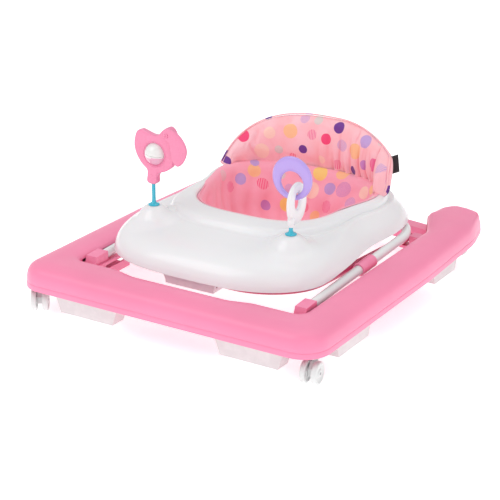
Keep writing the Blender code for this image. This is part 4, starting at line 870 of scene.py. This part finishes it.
def build_rattle():
    x = -TOY_X
    half = 0.0070
    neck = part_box("rattle_body")[0].z + 0.0016
    window = (x + 0.0080, neck + 0.0575)
    body = [(-0.0080, 0.0000), (-0.0075, 0.0130), (-0.0085, 0.0250), (-0.0220, 0.0370), (-0.0330, 0.0540),
            (-0.0365, 0.0730), (-0.0315, 0.0930), (-0.0230, 0.0990), (-0.0120, 0.0965), (0.0040, 0.0925),
            (0.0190, 0.0950), (0.0300, 0.1060), (0.0430, 0.1125), (0.0530, 0.1000), (0.0495, 0.0800),
            (0.0500, 0.0560), (0.0450, 0.0400), (0.0320, 0.0290), (0.0150, 0.0220), (0.0095, 0.0120),
            (0.0080, 0.0000)]
    outline = [(x + px, neck + pz) for px, pz in closed_curve(body[::-1], 8)]
    plate = slab("rattle_plate", outline, ring_points(window, 0.0240), TOY_Y - half, TOY_Y + half, 0.0026)
    neck_bar = rod((x, TOY_Y, neck + 0.0002), (x, TOY_Y, neck + 0.0150), 0.0062, 0.0078, 40)
    rim_path = [(px, TOY_Y - half + 0.0003, pz) for px, pz in ring_points(window, 0.0252)]
    rim = tube("rim", rim_path, 0.0011, 12, True)
    piece("rattle_plate", join_meshes("rattle_plate", [plate, neck_bar, rim]), TOY_PINK, "rattle",
          ["rattle_body"])
    wing = [(0.0420, 0.1125), (0.0340, 0.1060), (0.0360, 0.0960), (0.0480, 0.0860), (0.0500, 0.0680),
            (0.0555, 0.0520), (0.0645, 0.0450), (0.0765, 0.0560), (0.0830, 0.0745), (0.0775, 0.0915),
            (0.0620, 0.1070)]
    front = TOY_Y - half - 0.0003
    wing_edge = [(x + px, neck + pz) for px, pz in closed_curve(wing, 8)]
    leaf = slab("leaf", wing_edge, None, front - 0.0050, front,
                0.0018)
    piece("rattle_leaf", leaf, TOY_PINK, "rattle", ["rattle_wing"])
    spot = (x + 0.0400, front - 0.0050, neck + 0.1000)
    head = turned("head", spot, (0, -1, 0), [(0.0002, 0.0), (0.0044, 0.0), (0.0044, 0.0008), (0.0036, 0.0018),
                                             (0.0024, 0.0018), (0.0016, 0.0006), (0.0002, 0.0004)], 32)
    piece("rattle_pin", head, TOY_PINK, "rattle", ["rattle_rivet"])


def build_ball():
    """Two half shells, white over pink, meeting in a fine joint."""
    low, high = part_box("rattle_ball")
    centre = (low + high) / 2
    radius = 0.0223
    halves = []
    for way in (1, -1):
        profile = [(0.0003, way * radius * 0.9999)]
        for k in range(1, 15):
            a = pi / 2 * (1 - k / 14)
            profile.append((radius * cos(a), way * max(0.0004, radius * sin(a))))
        profile.append((radius - 0.0006, way * 0.0002))
        profile.append((0.0003, way * 0.0002))
        halves.append(turned("half", centre, (0, 0, 1), profile))
    tilt = Matrix.Translation(centre) @ Matrix.Rotation(radians(6), 4, "Y") @ Matrix.Translation(-centre)
    for half in halves:
        half.transform(tilt)
    glossy = plastic("ball_plastic", (0.84, 0.85, 0.83), 0.20, coat=0.5, grain=0.01)
    rosy = plastic("ball_pink_plastic", (0.84, 0.46, 0.60), 0.20, coat=0.5, grain=0.01)
    mesh = join_meshes("spinning_ball", halves)
    ball = piece("spinning_ball", mesh, glossy, "rattle_ball", ["rattle_ball"])
    mesh.materials.append(rosy)
    for face in mesh.polygons:
        face.material_index = 1 if face.center.z < centre.z - 0.0040 else 0
    return ball


def band(name, centre, outer, inner, drop, half_depth, plane):
    loops = []
    stations, around = 128, 24
    for station in range(stations):
        a = 2 * pi * station / stations
        out = Vector((outer[0] * cos(a), outer[1] * sin(a)))
        hole = Vector((inner[0] * cos(a), inner[1] * sin(a) - drop))
        middle = (out + hole) / 2
        reach = (out - hole) / 2
        loop = []
        for step in range(around):
            b = 2 * pi * step / around
            c, s = cos(b), sin(b)
            flat = middle + reach * (abs(c) ** 0.75 * (1 if c > 0 else -1))
            depth = half_depth * abs(s) ** 0.75 * (1 if s > 0 else -1)
            if plane == "XZ":
                loop.append((centre[0] + flat.x, centre[1] + depth, centre[2] + flat.y))
            else:
                loop.append((centre[0] + depth, centre[1] + flat.x, centre[2] + flat.y))
        loops.append(loop)
    return loft(name, loops, closed=True)


def build_right_toy():
    y = TOY_Y + 0.0195
    link = band("link", (TOY_X, y, 0.2435), (0.0330, 0.0400), (0.0100, 0.0165), -0.0040, 0.0048, "YZ")
    foot = turned("foot", (TOY_X, TOY_Y, 0.2030), (0, 0, 1),
                  [(0.0005, 0.0), (0.0056, 0.0), (0.0066, 0.0020), (0.0066, 0.0150), (0.0050, 0.0200),
                   (0.0005, 0.0205)], 40)
    piece("white_link", join_meshes("white_link", [link, foot]), WHITE, "link", ["toy_link"])
    ring = band("lilac_ring", (TOY_X - 0.0095, y, 0.2900), (0.0417, 0.0417), (0.0240, 0.0226), 0.0095,
                0.0045, "XZ")
    piece("lilac_ring", ring, LILAC_PLASTIC, "ring", ["toy_ring"])


def build_stems():
    for name, side, top in (("left", -1, 0.2450), ("right", 1, 0.2150)):
        profile = [(0.0004, 0.0), (0.0034, 0.0), (0.0034, 0.0243), (0.0108, 0.0246), (0.0112, 0.0252),
                   (0.0108, 0.0262), (0.0075, 0.0276), (0.0048, 0.0296), (0.0039, 0.0330), (0.0037, 0.0400),
                   (0.0037, top - 0.1640), (0.0004, top - 0.1640)]
        stem = turned("stem", (side * TOY_X, TOY_Y, 0.1640), (0, 0, 1), profile, 40)
        piece(f"teal_stem_{name}", stem, TEAL, "tray", [f"toy_stem_{name}"])


# ---- wheels and frame -----------------------------------------------------------------------------------
def wheel(name, node, body, axis, radius, material):
    low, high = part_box(node)
    centre = (low + high) / 2
    width = WHEEL_WIDTHS[body.split("_")[0]]
    half = width / 2
    tread = [(0.0026, half), (0.0066, half), (0.0074, half * 0.80), (0.0082, half * 0.62),
             (0.0148, half * 0.62),
             (0.0158, half * 0.80), (0.0170, half * 0.98), (0.0190, half * 0.98), (0.0206, half * 0.82),
             (0.0213, half * 0.55), (radius, half * 0.25)]
    profile = tread + [(r, -a) for r, a in reversed(tread)]
    made = turned(name, centre, axis, profile, 64)
    return piece(name, made, material, body, [node], angle=35)


WHEEL_WIDTHS = {"caster": 0.0110, "rear": 0.0150}
WHEEL_RADIUS = 0.0215


def build_wheels():
    turns = {"left": 33.0, "right": 7.0}
    for side, turn in turns.items():
        axis = (cos(radians(turn)), sin(radians(turn)), 0.0)
        for which in ("inner", "outer"):
            node = f"caster_wheel_{which}_{side}"
            wheel(f"twin_wheel_{which}_{side}", node, f"caster_wheels_{side}", axis, WHEEL_RADIUS, WHEEL_WHITE)
        rear = f"rear_wheel_{side}"
        wheel(f"rear_tyre_{side}", rear, rear, (1, 0, 0), WHEEL_RADIUS, WHEEL_WHITE)


def bent(x, bend, start_y, crossbar_y, height_of):
    way = 1 if crossbar_y > start_y else -1
    turn_y = crossbar_y - way * bend
    side = [(x, start_y + (turn_y - start_y) * k / 8) for k in range(9)]
    for step in range(1, 17):
        a = pi / 2 * step / 16
        side.append((x - bend * (1 - cos(a)), crossbar_y - way * bend * (1 - sin(a))))
    plan = side + [(-px, py) for px, py in reversed(side)]
    return [(px, py, height_of(py)) for px, py in plan]


OUTER_TUBE = {"x": 0.2335, "bend": 0.085, "radius": 0.0095, "front_height": 0.0863}
INNER_TUBE = {"x": 0.2050, "bend": 0.120, "radius": 0.0080}


def build_tubes():
    """Both frame tubes at rest, between the rear pivots and a front that mirrors them about the crossing."""
    rear, low = JOINTS["frame_lift"][1:]
    high = JOINTS["tray_level"][2]
    front = 2 * JOINTS["frame_cross"][1] - rear

    def outer_height(y):
        return OUTER_TUBE["front_height"] + (high - OUTER_TUBE["front_height"]) * (y - front) / (rear - front)

    def inner_height(y):
        return low + (high - low) * (rear - y) / (rear - front)

    outer = bent(OUTER_TUBE["x"], OUTER_TUBE["bend"], front - 0.002, rear, outer_height)
    piece("white_tube", tube("white_tube", outer, OUTER_TUBE["radius"]), TUBE_WHITE, "outer_frame",
          ["outer_tube"])
    inner = bent(INNER_TUBE["x"], INNER_TUBE["bend"], rear + 0.010, front, inner_height)
    piece("pink_tube", tube("pink_tube", inner, INNER_TUBE["radius"]), SHADED_TUBE_PINK, "inner_frame",
          ["inner_tube"])


# ---- nodes kept from the frame ----------------------------------------------------------------------------
KEPT = (
    (BASE_PINK, ("rear_crossbar", "caster_socket_", "front_slide_track_", "rear_pivot_bracket_",
                 "tube_socket_", "cross_collar_")),
    (PAD_WHITE, ("front_stop_pad_", "side_stop_pad_", "rear_stop_pad_", "rear_wheel_housing_")),
    (WHEEL_WHITE, ("caster_fork_",)),
    (WHITE, ("tray_frame", "rear_tube_clip_", "latch_housing")),
    (SHADED_LEVER_PINK, ("height_lever",)),
    (STEEL, ("caster_axle_", "rear_axle_", "rear_pivot_pin_", "cross_rivet_", "front_slide_pin_",
             "lever_spring")),
)


def finish_kept():
    for name, obj in frame["nodes"].items():
        if obj.hide_render:
            continue
        for material, prefixes in KEPT:
            if name.startswith(prefixes):
                obj.data.materials.clear()
                obj.data.materials.append(material)
        obj.data.shade_smooth()
        obj.data.set_sharp_from_angle(angle=radians(32))
        if not name.startswith(("lever_spring", "caster_axle", "rear_axle")):
            bevelled(obj, 0.0016 if "pad" in name or "latch" in name else 0.0008)


# ---- light and camera -----------------------------------------------------------------------------------
def area_light(name, place, aim, size, watts, colour=(1.0, 1.0, 1.0)):
    lamp = bpy.data.lights.new(name, "AREA")
    lamp.shape = "RECTANGLE"
    lamp.size, lamp.size_y = size
    lamp.energy = watts
    lamp.color = colour
    obj = bpy.data.objects.new(name, lamp)
    scene.collection.objects.link(obj)
    obj.location = place
    obj.rotation_euler = (Vector(aim) - Vector(place)).to_track_quat("-Z", "Y").to_euler()


def build_studio():
    builder = bmesh.new()
    bmesh.ops.create_grid(builder, x_segments=2, y_segments=2, size=30.0)
    floor = bpy.data.objects.new("floor", mesh_of(builder, "floor"))
    scene.collection.objects.link(floor)
    floor.location.z = -0.0005
    material, tree = blank("floor_paper", 0.9)
    tree.shader.inputs["Base Color"].default_value = (0.93, 0.93, 0.93, 1.0)
    tree.shader.inputs["Specular IOR Level"].default_value = 0.0
    tree.shader.inputs["Emission Color"].default_value = (1.0, 1.0, 1.0, 1.0)
    tree.shader.inputs["Emission Strength"].default_value = 0.55
    floor.data.materials.append(material)
    world = bpy.data.worlds.new("studio")
    world.use_nodes = True
    world.node_tree.nodes["Background"].inputs["Color"].default_value = (1.0, 1.0, 1.0, 1.0)
    world.node_tree.nodes["Background"].inputs["Strength"].default_value = 0.70
    scene.world = world
    area_light("key", (-1.2, -1.6, 2.4), (0.0, 0.0, 0.1), (1.8, 1.8), 16.5)
    area_light("fill", (2.2, -1.6, 1.5), (0.0, 0.0, 0.1), (2.0, 2.0), 7.5)
    area_light("top", (0.0, 0.6, 2.6), (0.0, 0.0, 0.1), (2.4, 2.4), 9.5)


def build_camera():
    azimuth, elevation, away = radians(31.99), radians(21.35), 3.1594
    aim = Vector((0.0028, -0.0686, 0.0934))
    back = Vector((sin(azimuth) * cos(elevation), -cos(azimuth) * cos(elevation), sin(elevation)))
    lens = bpy.data.cameras.new("camera")
    lens.sensor_width = 36.0
    lens.lens = 116.5
    obj = bpy.data.objects.new("camera", lens)
    scene.collection.objects.link(obj)
    obj.location = aim + back * away
    obj.rotation_euler = (-back).to_track_quat("-Z", "Y").to_euler()
    scene.camera = obj
    scene.view_settings.view_transform = "Standard"


def build():
    build_camera()
    build_studio()
    build_base()
    build_tray()
    build_seat_back()
    build_lining()
    build_tag()
    build_rattle()
    build_ball()
    build_right_toy()
    build_stems()
    build_wheels()
    build_tubes()
    finish_kept()


build()
